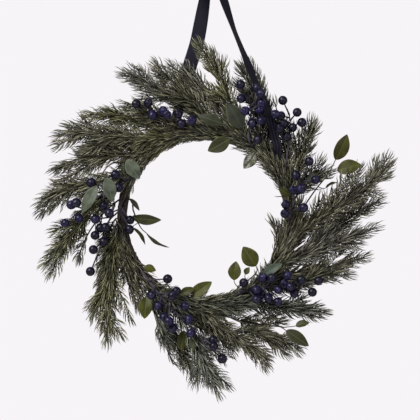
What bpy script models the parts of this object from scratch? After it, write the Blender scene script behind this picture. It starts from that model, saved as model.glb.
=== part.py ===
"""A door wreath: needle sprays, berry sprigs and leaf sprigs rooted on a ring of twisted twigs,
hung from a loop of ribbon.

All sizes below are millimetres. Places are x (right), y (back, towards the wall) and z (up) from the
middle of the ring. The finished objects are in metres, from the point where the ribbon hangs.
A turn is an angle round the ring in degrees, anticlockwise from its right-hand side, seen from the
front. A side is an angle round the twig bundle, 0 at its outer edge and 90 at its front.
"""

import math
import random

import bpy
import numpy as np
from mathutils.bvhtree import BVHTree

for item in list(bpy.data.objects):
    bpy.data.objects.remove(item)

MM = 0.001
RING_CENTRE = np.array([-10.0, 0.0, -386.0])

# Ring
RING_RADIUS = 130.0
RING_WAVE = 1.5
RING_DEPTH_WAVE = 1.2
RING_STEPS = 50
CANE_REACH = 8.0
CANE_VALLEY = 5.9
CANE_HALF_WIDTH = 30.0
CANE_TURNS = 4

# Ribbon
RIBBON_WIDTH = 22.0
RIBBON_THICKNESS = 0.8
WRAP_WIDTH = 14.0
WRAP_CLEARANCE = 0.8
HOOK_FLAT = 4.0
WRAP_STEPS = 13

# Stems, stalks, berries and leaves
ROOT_GAP = 0.3
ROOT_STEPS = 6
STEM_RADIUS = 1.5
STEM_TIP_RADIUS = 0.9
STALK_RADIUS = 0.75
STALK_ROOM = 0.3
STALK_SPREADS = (0.6, 1.2, 2.0, 0.3, 4.0)
STALK_POINTS = 10
STALK_SPACING = 4.6
STALK_MARGIN = 6.0
STALK_TOP = 5.0
STALK_LENGTH_SPLIT = 14.0
SEAT_HALF = 1.5
LONG_SPAN = 8.0
BERRY_RADIUS = 7.2
BERRY_SIDES = 6
BERRY_RINGS = (48.0, 92.0, 136.0)
BERRY_ROOM = 0.6
BERRY_LEAN = 0.55
LEAF_THICKNESS = 1.0
LEAF_BOW = 0.07
LEAF_FOLD = 0.22
LEAF_SHARES = (0.1, 0.28, 0.48, 0.68, 0.86)
LEAF_LEAN = 0.4

# Side twigs and needles
TWIG_RADIUS = 1.05
TWIG_TIP_RADIUS = 0.8
TWIG_SPREAD = 36.0
TWIG_TILTS = (0, 25, -25, 50, -50)
TWIG_SHARES = (1.0, 0.7)
TWIG_REACH = 0.62
TWIG_LEAST = 10.0
TWIG_ROOM = 0.7
NEEDLE_LENGTH = 20.0
NEEDLE_RADIUS = 1.2
NEEDLE_POINT_RADIUS = 0.1
NEEDLE_ROOM = 0.3
NEEDLE_PITCH = 19.3
NEEDLE_SEAT = 2.6
NEEDLE_LEANS = (47, 36)
FIRST_STEM_NEEDLES = 16.0
FIRST_TWIG_NEEDLES = 11.0
NEEDLE_LENGTHS = (0.88, 1.08)
NEEDLE_LEAN_SPREAD = 4.0
NEEDLE_TURN_SPREAD = 5.0
END_NEEDLE = 15.0
END_LEAN = 14.0
WHORL_TWIST = 17.0

FRONT = np.array([0.0, -1.0, 0.0])
BACK = -FRONT
SHARP_ANGLE = math.radians(75)


def unit(vector):
    return vector / np.linalg.norm(vector)


def from_heading(degrees):
    """A direction in the plane of the ring, in degrees anticlockwise from the right."""
    angle = math.radians(degrees)
    return np.array([math.cos(angle), 0.0, math.sin(angle)])


class Path:
    """A line through many close points, read by the distance along it."""

    def __init__(self, points):
        self.points = np.array(points)
        steps = np.linalg.norm(np.diff(self.points, axis=0), axis=1)
        self.run = np.concatenate([[0.0], np.cumsum(steps)])
        self.length = self.run[-1]

    def at(self, distance):
        return np.array([np.interp(distance, self.run, self.points[:, i]) for i in range(3)])

    def heading(self, distance):
        distance = min(max(distance, 0.5), self.length - 0.5)
        return unit(self.at(distance + 0.5) - self.at(distance - 0.5))


def bezier(start, lead, trail, end, count=40):
    t = np.linspace(0.0, 1.0, count)[:, None]
    return Path(
        start * (1 - t) ** 3 + 3 * lead * t * (1 - t) ** 2 + 3 * trail * t**2 * (1 - t) + end * t**3
    )


def curve_through(points, per_span=12):
    """Catmull-Rom curve through a few points that were set by hand."""
    points = [np.array(p, float) for p in points]
    ends = [2 * points[0] - points[1]] + points + [2 * points[-1] - points[-2]]
    line = []
    for a, b, c, d in zip(ends, ends[1:], ends[2:], ends[3:]):
        for t in np.linspace(0.0, 1.0, per_span, endpoint=False):
            line.append(
                0.5 * (2 * b + (c - a) * t + (2 * a - 5 * b + 4 * c - d) * t**2)
                + 0.5 * (3 * b - a - 3 * c + d) * t**3
            )
    return np.array(line + [points[-1]])


class Shell:
    """A closed skin of triangles. A face can be taken out and something grown from its corners."""

    def __init__(self):
        self.corners = []
        self.faces = {}
        self.count = 0

    def corner(self, point):
        self.corners.append(np.array(point, float))
        return len(self.corners) - 1

    def face(self, a, b, c):
        self.faces[self.count] = (a, b, c)
        self.count += 1
        return self.count - 1

    def ring(self, middle, heading, towards, radius, count=3):
        """Corners round a point, anticlockwise about the heading, with the first one towards a side."""
        across = unit(towards - (towards @ heading) * heading)
        up = np.cross(heading, across)
        angles = [2 * math.pi * i / count for i in range(count)]
        return [
            self.corner(middle + radius * (math.cos(a) * across + math.sin(a) * up)) for a in angles
        ]

    def bridge(self, back, front):
        """Skin between two rings, which may have different numbers of corners."""
        apart = [np.linalg.norm(self.corners[k] - self.corners[back[0]]) for k in front]
        first = int(np.argmin(apart)) if len(front) != len(back) else 0
        front = front[first:] + front[:first]
        made = []
        i = j = 0
        while i < len(back) or j < len(front):
            a, b = back[i % len(back)], front[j % len(front)]
            if (i + 1) / len(back) <= (j + 1) / len(front):
                made.append(self.face(a, back[(i + 1) % len(back)], b))
                i += 1
            else:
                made.append(self.face(a, front[(j + 1) % len(front)], b))
                j += 1
        return made

    def close(self, ring, tip):
        end = self.corner(tip)
        for i, a in enumerate(ring):
            self.face(a, ring[(i + 1) % len(ring)], end)

    def open_face(self, key):
        return list(self.faces.pop(key))

    def spike(self, key, tip):
        self.close(self.open_face(key), tip)

    def middle(self, key):
        return np.mean([self.corners[k] for k in self.faces[key]], axis=0)

    def normal(self, key):
        a, b, c = (self.corners[k] for k in self.faces[key])
        return unit(np.cross(b - a, c - a))


def segment_gaps(p, q, starts, ends):
    """Shortest distances from one segment to many, and how far along each pair they lie."""
    u = q - p
    v = ends - starts
    w = p - starts
    uu = u @ u
    vv = np.einsum("ij,ij->i", v, v)
    uv = v @ u
    wu = w @ u
    wv = np.einsum("ij,ij->i", w, v)
    s = np.clip((uv * wv - vv * wu) / np.maximum(uu * vv - uv * uv, 1e-9), 0.0, 1.0)
    t = np.clip((uv * s + wv) / vv, 0.0, 1.0)
    s = np.clip((uv * t - wu) / uu, 0.0, 1.0)
    apart = w + s[:, None] * u - t[:, None] * v
    return np.linalg.norm(apart, axis=1), s, t


class Rods:
    """Every stem and needle that stands already, kept as tapering rods with their owner's number."""

    def __init__(self, room=20000):
        self.starts = np.zeros((room, 3))
        self.ends = np.zeros((room, 3))
        self.thick = np.zeros((room, 2))
        self.owner = np.full(room, -1)
        self.count = 0

    def add(self, p, q, thick_p, thick_q, owner):
        i = self.count
        self.starts[i], self.ends[i] = p, q
        self.thick[i] = thick_p, thick_q
        self.owner[i] = owner
        self.count += 1

    def room_for(self, p, q, thick_p, thick_q, owner):
        """The clear space left between a new rod and the nearest rod of another owner."""
        n = self.count
        others = self.owner[:n] != owner
        if not others.any():
            return 1000.0
        thick = self.thick[:n][others]
        gap, s, t = segment_gaps(p, q, self.starts[:n][others], self.ends[:n][others])
        own = thick_p + (thick_q - thick_p) * s
        theirs = thick[:, 0] + (thick[:, 1] - thick[:, 0]) * t
        return float((gap - own - theirs).min())


class Solids:
    """The pieces that are finished, asked for the distance to their nearest surface."""

    def __init__(self):
        self.corners = []
        self.faces = []
        self.tree = None

    def add(self, corners, faces):
        base = len(self.corners)
        self.corners += [tuple(c) for c in corners]
        self.faces += [tuple(base + k for k in face) for face in faces]
        self.tree = BVHTree.FromPolygons(self.corners, self.faces)

    def distance(self, point):
        return self.tree.find_nearest(tuple(point))[3]

    def room_for(self, points, radius):
        return min(self.distance(p) for p in points) - radius


ring_skin = Solids()
solids = Solids()
rods = Rods()


def room_round(points, radius):
    """Clear space round a few points, to the ring and to every finished piece."""
    return min(skin.room_for(points, radius) for skin in (ring_skin, solids))


def make_object(name, corners, faces, material, smooth=False):
    mesh = bpy.data.meshes.new(name)
    places = [tuple((np.array(c) + RING_CENTRE) * MM) for c in corners]
    mesh.from_pydata(places, [], [tuple(f) for f in faces])
    mesh.materials.append(material)
    if smooth:
        mesh.shade_smooth()
        mesh.set_sharp_from_angle(angle=SHARP_ANGLE)
    bpy.context.scene.collection.objects.link(bpy.data.objects.new(name, mesh))


def plain_material(name, colour, roughness):
    material = bpy.data.materials.new(name)
    material.use_nodes = True
    shader = material.node_tree.nodes["Principled BSDF"]
    shader.inputs["Base Color"].default_value = (*colour, 1.0)
    shader.inputs["Roughness"].default_value = roughness
    shader.inputs["Metallic"].default_value = 0.0
    return material


# Ring of twisted twigs


def ring_line(turn):
    """Middle of the twig bundle. Real canes don't bend to a perfect circle."""
    angle = math.radians(turn)
    reach = RING_RADIUS + RING_WAVE * math.sin(3 * angle + 0.7)
    depth = RING_DEPTH_WAVE * math.sin(2 * angle + 1.0)
    return np.array([reach * math.cos(angle), depth, reach * math.sin(angle)])


def round_bundle(turn, side):
    """Direction away from the middle of the bundle."""
    angle = math.radians(side)
    return math.cos(angle) * from_heading(turn) + math.sin(angle) * FRONT


def make_ring():
    profile = []
    for lobe in range(3):
        profile.append((120 * lobe - CANE_HALF_WIDTH, CANE_REACH))
        profile.append((120 * lobe + CANE_HALF_WIDTH, CANE_REACH))
        profile.append((120 * lobe + 60, CANE_VALLEY))
    corners = []
    for step in range(RING_STEPS):
        turn = 360 * step / RING_STEPS
        for side, reach in profile:
            side = side + CANE_TURNS * turn
            corners.append(ring_line(turn) + reach * round_bundle(turn, -side))
    sides = len(profile)
    faces = []
    for step in range(RING_STEPS):
        for k in range(sides):
            a = step * sides + k
            b = step * sides + (k + 1) % sides
            c = (step + 1) % RING_STEPS * sides + (k + 1) % sides
            d = (step + 1) % RING_STEPS * sides + k
            faces += [(a, b, c), (a, c, d)]
    ring_skin.add(corners, faces)
    bark = plain_material("bark", (0.035, 0.022, 0.016), 0.85)
    make_object("twig_ring", corners, faces, bark, smooth=True)


def seat(turn, side, radius):
    """Where the middle of a stem's root lies so that the stem just clears the ring."""
    away = round_bundle(turn, side)
    middle = ring_line(turn)
    for reach in np.arange(CANE_REACH + 4, 2.0, -0.05):
        place = middle + reach * away
        if ring_skin.distance(place) < radius + ROOT_GAP:
            return place
    raise ValueError("a root found no seat")


def root_ring(shell, stem, away):
    """The closed first ring of a stem, pushed down until it lies just clear of the twigs."""
    ring = shell.ring(stem.at(0.0), stem.heading(0.0), -away, STEM_RADIUS)
    shell.face(*ring[::-1])
    for _ in range(ROOT_STEPS):
        corners = np.array([shell.corners[k] for k in ring])
        edges = (corners + np.roll(corners, 1, axis=0)) / 2
        places = [*corners, *edges, corners.mean(axis=0)]
        gap = ring_skin.room_for(places, ROOT_GAP)
        for k in ring:
            shell.corners[k] = shell.corners[k] - gap * away
    return ring


# Ribbon


# each row is x, y, z, width and how far the width has turned from straight back, in degrees
LEFT_LEG = [
    (6.3, 0.0, 383.5, 22.0, 6.0),
    (2.3, 0.8, 360.0, 22.0, 30.0),
    (-1.9, 1.5, 334.2, 22.0, 53.0),
    (-12.4, 3.0, 275.9, 22.0, 86.0),
    (-23.6, 4.5, 238.7, 22.0, 90.0),
    (-33.5, 6.5, 200.0, 20.0, 90.0),
    (-44.5, 9.0, 158.0, 16.0, 90.0),
]
RIGHT_LEG = [
    (13.7, 0.0, 383.5, 22.0, 6.0),
    (20.5, -3.5, 360.0, 22.0, 28.0),
    (29.1, -7.5, 334.2, 22.0, 36.0),
    (43.4, -14.0, 291.4, 22.0, 20.0),
    (58.9, -20.0, 252.7, 22.0, 24.0),
    (67.0, -23.0, 232.5, 22.0, 33.0),
    (76.6, -27.0, 207.7, 21.0, 24.0),
    (92.0, -31.0, 172.1, 18.0, 20.0),
    (103.0, -31.0, 137.0, 16.0, 34.0),
    (110.5, -25.0, 108.0, 15.0, 62.0),
]
LEFT_WRAP = {"turn": 113.0, "first_side": -35.0, "last_side": -330.0}
RIGHT_WRAP = {"turn": 36.0, "first_side": 80.0, "last_side": 380.0}


def leg_rows(leg):
    """Middle, width direction and width of each row, from the hook down."""
    rows = []
    line = curve_through(leg, per_span=2)
    for i, (x, y, z, width, turned) in enumerate(line):
        ahead = line[min(i + 1, len(line) - 1)] - line[max(i - 1, 0)]
        down = unit(np.array([ahead[0], 0.0, ahead[2]]))
        sideways = np.array([-down[2], 0.0, down[0]])
        angle = math.radians(turned)
        across = math.cos(angle) * BACK + math.sin(angle) * sideways
        rows.append((np.array([x, y, z]), across, width))
    return rows


def wrap_rows(wrap, across):
    """Rows round the twig bundle, which lie square to the ring."""
    rows = []
    along = from_heading(wrap["turn"] + 90)
    along = along if along @ across > 0 else -along
    reach = CANE_REACH + WRAP_CLEARANCE + RIBBON_THICKNESS / 2
    for side in np.linspace(wrap["first_side"], wrap["last_side"], WRAP_STEPS):
        place = ring_line(wrap["turn"]) + reach * round_bundle(wrap["turn"], side)
        rows.append((place, along, WRAP_WIDTH))
    return rows


def add_wrap(leg, wrap):
    """A leg, the stretch where it twists towards its wrap, and the wrap."""
    around = wrap_rows(wrap, leg[-1][1])
    twist = []
    for share in (1 / 3, 2 / 3):
        place, across, width = (a + share * (b - a) for a, b in zip(leg[-1], around[0]))
        twist.append((place, unit(across), width))
    return leg + twist + around


def ribbon_rows():
    """All rows in order: left end, left leg, the flat on the hook, right leg and right end."""
    left = add_wrap(leg_rows(LEFT_LEG), LEFT_WRAP)
    right = add_wrap(leg_rows(RIGHT_LEG), RIGHT_WRAP)
    top = -RING_CENTRE[2] + RIBBON_THICKNESS / 2
    hook = -RING_CENTRE[0]
    flat = [
        (np.array([hook - HOOK_FLAT / 2, 0.0, top]), BACK, RIBBON_WIDTH),
        (np.array([hook + HOOK_FLAT / 2, 0.0, top]), BACK, RIBBON_WIDTH),
    ]
    return left[::-1] + flat + right


def make_ribbon():
    rows = ribbon_rows()
    places = [row[0] for row in rows]
    corners = []
    for i, (place, across, width) in enumerate(rows):
        before = unit(place - places[i - 1]) if i else unit(places[1] - place)
        after = unit(places[i + 1] - place) if i + 1 < len(rows) else before
        ahead = unit(before + after)
        across = unit(across - (across @ ahead) * ahead)
        out = np.cross(ahead, across)
        half = RIBBON_THICKNESS / 2 / max(0.5, before @ ahead)
        for side, lift in ((1, -1), (1, 1), (-1, 1), (-1, -1)):
            corners.append(place + side * width / 2 * across + lift * half * out)
    faces = []
    for i in range(len(rows) - 1):
        for k in range(4):
            a, b = 4 * i + k, 4 * i + (k + 1) % 4
            # the back is split the same way as the front, so that the two never cross where it twists
            if k == 3:
                faces += [(a, b, a + 4), (b, b + 4, a + 4)]
            else:
                faces += [(a, b, b + 4), (a, b + 4, a + 4)]
    last = 4 * (len(rows) - 1)
    faces += [(3, 2, 1), (3, 1, 0), (last, last + 1, last + 2), (last, last + 2, last + 3)]
    solids.add(corners, faces)
    satin = plain_material("navy_satin", (0.012, 0.011, 0.025), 0.45)
    make_object("ribbon", corners, faces, satin)


# Sprigs: a stem with berries or leaves on stalks


def sprig_stem(turn, side, through):
    """Curve from the ring through points set by hand."""
    root = seat(turn, side, STEM_RADIUS)
    away = round_bundle(turn, side)
    lead = root + 5 * away + 5 * unit(np.array(through[0], float) - root)
    return Path(curve_through([root, lead] + list(through)))


def stalk_line(foot, out, end, into, spread):
    """A stalk leaves its stem along a side direction and comes in to its berry or leaf from behind."""
    reach = 0.4 * np.linalg.norm(end - foot)
    lead = foot + reach * unit(out + spread * unit(end - foot))
    return bezier(foot, lead, end - reach * into, end, STALK_POINTS)


def stalk_feet(stem, ends, lean):
    """How far along the stem each stalk leaves it: a little before the nearest point, none too close."""
    wanted = []
    for number, end in enumerate(ends):
        apart = np.linalg.norm(stem.points - end, axis=1)
        nearest = int(np.argmin(apart))
        foot = stem.run[nearest] - lean * apart[nearest]
        wanted.append((min(max(foot, STALK_MARGIN), stem.length - STALK_MARGIN), number))
    feet = {}
    last = 0.0
    for foot, number in sorted(wanted):
        last = max(foot, last + STALK_SPACING)
        feet[number] = last
    ceiling = stem.length - STALK_TOP
    for foot, number in sorted(((f, n) for n, f in feet.items()), reverse=True):
        feet[number] = min(foot, ceiling)
        ceiling = feet[number] - STALK_SPACING
    return feet


def sweep_stem(shell, start, path, stops, radius, tip_radius, twist=0.0):
    """Skin a three-cornered stem along a path. Returns the faces made up to each stop."""
    ring = start
    spans = []
    for stop in stops:
        towards = shell.corners[ring[0]] - np.mean([shell.corners[k] for k in ring], axis=0)
        heading = path.heading(stop)
        if twist:
            side = np.cross(heading, towards)
            towards = math.cos(twist) * towards + math.sin(twist) * side
        share = stop / path.length
        size = radius + (tip_radius - radius) * share
        following = shell.ring(path.at(stop), heading, towards, size)
        spans.append(shell.bridge(ring, following))
        ring = following
    return ring, spans


def grow_stalk(shell, key, path, short):
    """Grow a thin stalk from one face of a stem. Its last ring stops short of the path's end."""
    base = shell.open_face(key)
    shares = (0.3, 0.65) if path.length > STALK_LENGTH_SPLIT else (0.5,)
    stops = [share * path.length for share in shares] + [path.length - short]
    ring, _ = sweep_stem(shell, base, path, stops, STALK_RADIUS, STALK_RADIUS)
    return ring


def grow_berry(shell, ring, middle, heading):
    """Swell the end of a stalk into a round berry."""
    towards = shell.corners[ring[0]] - np.mean([shell.corners[k] for k in ring], axis=0)
    for angle in BERRY_RINGS:
        a = math.radians(angle)
        place = middle - BERRY_RADIUS * math.cos(a) * heading
        following = shell.ring(place, heading, towards, BERRY_RADIUS * math.sin(a), BERRY_SIDES)
        shell.bridge(ring, following)
        ring = following
    shell.close(ring, middle + BERRY_RADIUS * heading)


def leaf_rows(base, tip, width, roll):
    """Middle, across and face directions, half width and edge lift at each step along a leaf."""
    length = np.linalg.norm(tip - base)
    along = unit(tip - base)
    across = unit(np.cross(along, FRONT))
    face = np.cross(across, along)
    angle = math.radians(roll)
    across, face = (
        math.cos(angle) * across + math.sin(angle) * face,
        math.cos(angle) * face - math.sin(angle) * across,
    )
    rows = []
    for share in LEAF_SHARES:
        half = width / 2 * math.sin(math.pi * share**0.85) ** 0.8
        rise = LEAF_BOW * length * math.sin(math.pi * share)
        middle = base + share * length * along + rise * face
        rows.append((middle, across, face, half, LEAF_FOLD * half))
    return rows


def grow_leaf(shell, ring, base, tip, width, roll):
    """A pointed blade, folded a little along its middle, that swells out of the end of a stalk."""
    rows = leaf_rows(base, tip, width, roll)
    foot = shell.ring(base, unit(tip - base), -rows[0][1], STALK_RADIUS, 4)
    shell.bridge(ring, foot)
    ring = foot
    for middle, across, face, half, lift in rows:
        following = [
            shell.corner(middle - half * across + lift * face),
            shell.corner(middle + LEAF_THICKNESS / 2 * face),
            shell.corner(middle + half * across + lift * face),
            shell.corner(middle - LEAF_THICKNESS / 2 * face),
        ]
        skin_blade(shell, ring, following)
        ring = following
    shell.close(ring, tip)


def skin_blade(shell, ring, following):
    """Four strips of blade. Upper and lower diagonals lie alike, so that the two skins never cross."""
    for i in range(4):
        a, b = ring[i], ring[(i + 1) % 4]
        c, d = following[(i + 1) % 4], following[i]
        if i % 2:
            shell.face(a, b, c)
            shell.face(a, c, d)
        else:
            shell.face(a, b, d)
            shell.face(b, c, d)


def sprig_shell(stem, away, ends, lean):
    """Skin a stem with a short span for each stalk. Returns the shell, those spans and its last ring."""
    feet = stalk_feet(stem, ends, lean)
    ordered = sorted((foot, number) for number, foot in feet.items())
    stops = [ordered[0][0] - SEAT_HALF] if ordered else [stem.length / 2]
    places = {}
    for k, (foot, number) in enumerate(ordered):
        places[number] = len(stops)
        following = ordered[k + 1][0] if k + 1 < len(ordered) else stem.length
        if following - foot < LONG_SPAN:
            stops.append((foot + following) / 2)
        else:
            stops += [foot + SEAT_HALF, following - SEAT_HALF]
    shell = Shell()
    start = root_ring(shell, stem, away)
    ring, spans = sweep_stem(shell, start, stem, stops, STEM_RADIUS, STEM_TIP_RADIUS)
    return shell, {number: spans[place] for number, place in places.items()}, ring


def stalk_room(line, stem, others, lines):
    """Clear space round a stalk, to what stands already and to its own sprig's stem and stalks."""
    points = line.points[1:]
    rooms = [room_round(points[1:], STALK_RADIUS)]
    far_half = line.points[STALK_POINTS // 2 :]
    apart = np.linalg.norm(far_half[:, None] - stem.points[None], axis=2)
    rooms.append(apart.min() - STEM_RADIUS - STALK_RADIUS)
    for other in others:
        rooms.append(np.linalg.norm(points - other, axis=1).min() - BERRY_RADIUS - STALK_RADIUS)
    for done in lines:
        apart = np.linalg.norm(points[:, None] - done.points[None, 1:], axis=2)
        rooms.append(apart.min() - 2 * STALK_RADIUS)
    return min(rooms)


def clear_stalk(shell, span, stem, end, into, others=(), lines=()):
    """The face and the line of the first stalk with room round it, or of the one with the most."""
    free = [key for key in span if key in shell.faces]
    free.sort(key=lambda key: -(shell.normal(key) @ unit(end - shell.middle(key))))
    tried = []
    for spread in STALK_SPREADS:
        for key in free[:4]:
            line = stalk_line(shell.middle(key), shell.normal(key), end, into, spread)
            tried.append((stalk_room(line, stem, others, lines), key, line))
            if tried[-1][0] > STALK_ROOM:
                return tried[-1][1:]
    return max(tried, key=lambda option: option[0])[1:]


# Berry sprigs: root turn and side, points that the stem runs through, and each berry's x and z

BERRY_SPRIGS = {
    "top_left": (84, 95, [(-8, -25, 140), (-45, -27, 150), (-78, -28, 163), (-96, -28, 172)], [
        (-106.2, 174.4), (-87.6, 176.7), (-81.4, 158.1), (-65.9, 163.5),
        (-58.9, 157.3), (-41.1, 159.7), (-36.4, 144.9), (-20.2, 150.4),
    ]),
    "top_right": (56, 90, [(66, -22, 128), (70, -26, 160), (68, -28, 190)], [
        (53.5, 204.6), (54.3, 182.9), (61.2, 163.5), (78.3, 198.4), (83.9, 189.1),
        (86.0, 175.8), (83.9, 165.9), (72.1, 144.2), (86.0, 148.8), (79.8, 119.4),
    ]),
    "right_high": (26, 85, [(124, -24, 84), (128, -27, 120), (130, -26, 150), (126, -24, 168)], [
        (107.0, 158.1, -50), (115.5, 156.6, -35), (118.6, 179.8), (140.3, 161.8), (148.0, 146.2),
        (134.1, 139.5), (120.1, 144.2), (112.4, 136.4), (124.8, 124.0, -47),
    ]),
    "right": (-7, 95, [(130, -24, 4), (139, -27, 32), (150, -27, 62), (155, -26, 76)], [
        (158.9, 86.8), (138.7, 65.1), (168.2, 58.9), (135.6, 43.4),
        (146.5, 45.0), (123.2, 20.9), (121.7, 6.2), (149.6, 15.5),
    ]),
    "lower_right": (-69, 100, [(62, -24, -112), (92, -28, -106), (130, -28, -106), (160, -28, -103)], [
        (58.1, -99.2), (87.6, -91.5), (100.9, -91.5), (124.8, -88.4), (146.5, -94.6),
        (78.3, -109.3), (78.3, -124.0), (96.9, -122.5), (110.8, -128.7), (135.6, -114.7),
        (172.8, -96.1), (163.5, -113.2), (112.4, -110.0), (129.4, -103.9), (120.1, -100.8),
        (86.0, -117.0),
    ]),
    "lower_left": (219, 95, [(-88, -24, -96), (-62, -27, -128), (-32, -28, -158), (4, -27, -192)], [
        (-58.1, -93.0), (-44.2, -111.6), (-50.4, -117.8), (-81.4, -117.8), (-72.1, -133.3),
        (-31.8, -134.9), (-64.3, -151.9), (-55.8, -156.6), (-25.6, -156.6), (-50.4, -168.3),
        (-20.9, -176.1), (11.6, -186.0), (12.6, -195.3), (25.6, -215.5),
    ]),
    "left_high": (150, 90, [(-124, -24, 58), (-150, -27, 44), (-180, -27, 20), (-204, -25, 2)], [
        (-174.4, 54.3), (-205.4, 20.2), (-196.1, 23.3), (-132.5, 46.5), (-137.2, 66.7),
        (-214.7, -7.8), (-193.8, -0.8), (-155.8, 18.6),
    ]),
    "left_low": (170, 85, [(-134, -20, 10), (-150, -19, -6), (-160, -19, -34), (-168, -20, -68)], [
        (-116.1, -3.1, -18), (-117.5, -17.5, -20), (-160.5, -15.5, -34), (-152.5, -14.0, -48),
        (-168.2, -1.6), (-169.7, -26.4), (-155.8, -35.7), (-171.3, -48.1), (-175.9, -81.4),
        (-146.5, 7.8),
    ]),
}
BERRY_TINT = (0.022, 0.02, 0.07)
BERRY_DEPTH = -39.0
BERRY_SHIFTS = (0.0, -4.0, 4.0, -8.0, 8.0, -12.0, 12.0, -16.0, 16.0, -20.0, 20.0)

berries = []


def settle_berries(stem, spots):
    """Give each berry the depth nearest to the usual one at which it touches nothing."""
    settled = []
    for x, z, *depth in spots:
        for shift in BERRY_SHIFTS:
            place = np.array([x, (depth or [BERRY_DEPTH])[0] + shift, z])
            others = [np.linalg.norm(place - other) - 2 * BERRY_RADIUS for other in berries + settled]
            from_stem = np.linalg.norm(stem.points - place, axis=1).min() - BERRY_RADIUS - STEM_RADIUS
            if min(others + [from_stem, room_round([place], BERRY_RADIUS)]) > BERRY_ROOM:
                settled.append(place)
                break
        else:
            raise ValueError(f"no room for the berry at {x}, {z}")
    return settled


def make_berry_sprig(name, turn, side, through, spots):
    stem = sprig_stem(turn, side, through)
    settled = settle_berries(stem, spots)
    shell, spans, ring = sprig_shell(stem, round_bundle(turn, side), settled, BERRY_LEAN)
    shell.close(ring, stem.at(stem.length) + 2.5 * stem.heading(stem.length))
    lines = []
    for number, middle in enumerate(settled):
        others = [place for k, place in enumerate(settled) if k != number]
        into = unit(middle - shell.middle(spans[number][0]))
        near_side = middle - BERRY_RADIUS * into
        key, line = clear_stalk(shell, spans[number], stem, near_side, into, others, lines)
        ring = grow_stalk(shell, key, line, short=0.2)
        grow_berry(shell, ring, middle, into)
        lines.append(line)
    berries.extend(settled)
    faces = list(shell.faces.values())
    solids.add(shell.corners, faces)
    skin = plain_material("berry_" + name, BERRY_TINT, 0.5)
    make_object("berry_sprig_" + name, shell.corners, faces, skin, smooth=True)


# Leaf sprigs: tint, root turn and side, points that the stem runs through, and each leaf's base,
# tip, width and roll. A roll of 0 turns the face to the front. The last leaf ends the stem.

LEAF_TINTS = {"olive": (0.12, 0.15, 0.03), "grey": (0.13, 0.17, 0.11)}
LEAF_SPRIGS = {
    "top": ("grey", 60, 100, [(56, -21, 122), (44, -29, 134)], [
        ((57, -24, 138), (34, -25, 178), 26, 5),
        ((37, -27, 122), (3.5, -24, 103), 20, 20),
        ((25.6, -36, 144), (-12, -34, 157), 18, -15),
    ]),
    "top_inner": ("olive", 51, 75, [], [
        ((76.7, -22, 100.8), (58.9, -18, 76), 18.6, 10),
    ]),
    "right_outer": ("olive", -2, 20, [(150, -14, 14), (170, -14, 44), (188, -14, 66)], [
        ((203, -16, 72.9), (240, -18, 82.2), 24, 20),
        ((185, -18, 46), (203, -20, 55), 12, 70),
        ((200.7, -12, 89.9), (218.7, -14, 129.3), 23, -15),
    ]),
    "right_inner": ("olive", 8, 120, [(130, -14, 30), (142, -15, 40)], [
        ((131, -32, 36), (112, -34, 46), 14, 25),
        ((157, -14, 52), (176, -13, 74), 16, 30),
    ]),
    "lower_right_inner": ("olive", -66, 150, [(56, -10, -104), (68, -12, -94), (78, -10, -86)], [
        ((44.2, -8, -96.1), (47.3, -6, -66.7), 20, 10),
        ((61.2, -10, -87), (68, -10, -76), 9.3, 20),
        ((78.3, -6, -74.4), (58.1, -6, -44.2), 26, 5),
    ]),
    "lower_right_outer": ("olive", -68, 30, [(76, -12, -142), (100, -17, -158)], [
        ((138.7, -22, -166), (160, -22, -161), 12.4, 35),
        ((124, -20, -173), (159, -24, -197), 19, 10),
    ]),
    "right_low": ("grey", -52, 100, [(82, -20, -100)], [
        ((88, -29, -88), (118, -34, -70), 15, 20),
    ]),
    "bottom": ("grey", 249, 30, [(-46, -13, -144), (-37, -18, -156)], [
        ((-15, -27, -177), (-20, -31, -206), 14, -20),
        ((-33, -20, -173), (-38, -24, -203), 18.6, 15),
    ]),
    "bottom_inner": ("olive", 238, 150, [(-54, -12, -109), (-40, -15, -118)], [
        ((-38, -20, -112), (-31, -16, -92), 14, 15),
        ((-23, -14, -122), (10, -12, -98.4), 20, 10),
    ]),
    "lower_left": ("olive", 205, 130, [(-107, -13, -66), (-102, -17, -88)], [
        ((-95, -20, -76), (-76, -18, -81), 13, 30),
        ((-90.7, -20, -121), (-93.8, -24, -155), 21.7, 0),
    ]),
    "left_inner": ("olive", 166, 175, [(-113, -4, 16), (-108, -5, 2), (-102, -4, -12)], [
        ((-100, -8, 5), (-66, -8, 0), 16, 35),
        ((-108, -11, -17), (-90.7, -10, -42), 13, 68),
        ((-91.5, -4, -23.3), (-55.8, -6, -45.7), 13, -66),
    ]),
    "left_high": ("grey", 150, 60, [(-122, -18, 79), (-136, -32, 86), (-152, -46, 76)], [
        ((-120, -27, 87), (-102, -25, 64), 18.6, 0),
        ((-150, -56, 62), (-142, -54, 24), 20, 10),
        ((-165, -53, 49), (-188, -51, 7.5), 19, -10),
    ]),
}
LEAD_IN = 4.0


def make_leaf_sprig(name, tint, turn, side, through, leaves):
    blades = [(np.array(base, float), np.array(tip, float), *size) for base, tip, *size in leaves]
    last_base, last_tip = blades[-1][:2]
    arrival = last_base - LEAD_IN * unit(last_tip - last_base)
    stem = sprig_stem(turn, side, through + [arrival, last_base])
    bases = [blade[0] for blade in blades[:-1]]
    shell, spans, ring = sprig_shell(stem, round_bundle(turn, side), bases, LEAF_LEAN)
    grow_leaf(shell, ring, *blades[-1])
    lines = []
    for number, (base, tip, width, roll) in enumerate(blades[:-1]):
        key, line = clear_stalk(shell, spans[number], stem, base, unit(tip - base), lines=lines)
        ring = grow_stalk(shell, key, line, short=1.8)
        grow_leaf(shell, ring, base, tip, width, roll)
        lines.append(line)
    faces = list(shell.faces.values())
    solids.add(shell.corners, faces)
    green = plain_material("leaf_" + name, LEAF_TINTS[tint], 0.5)
    make_object("leaf_sprig_" + name, shell.corners, faces, green)


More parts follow.
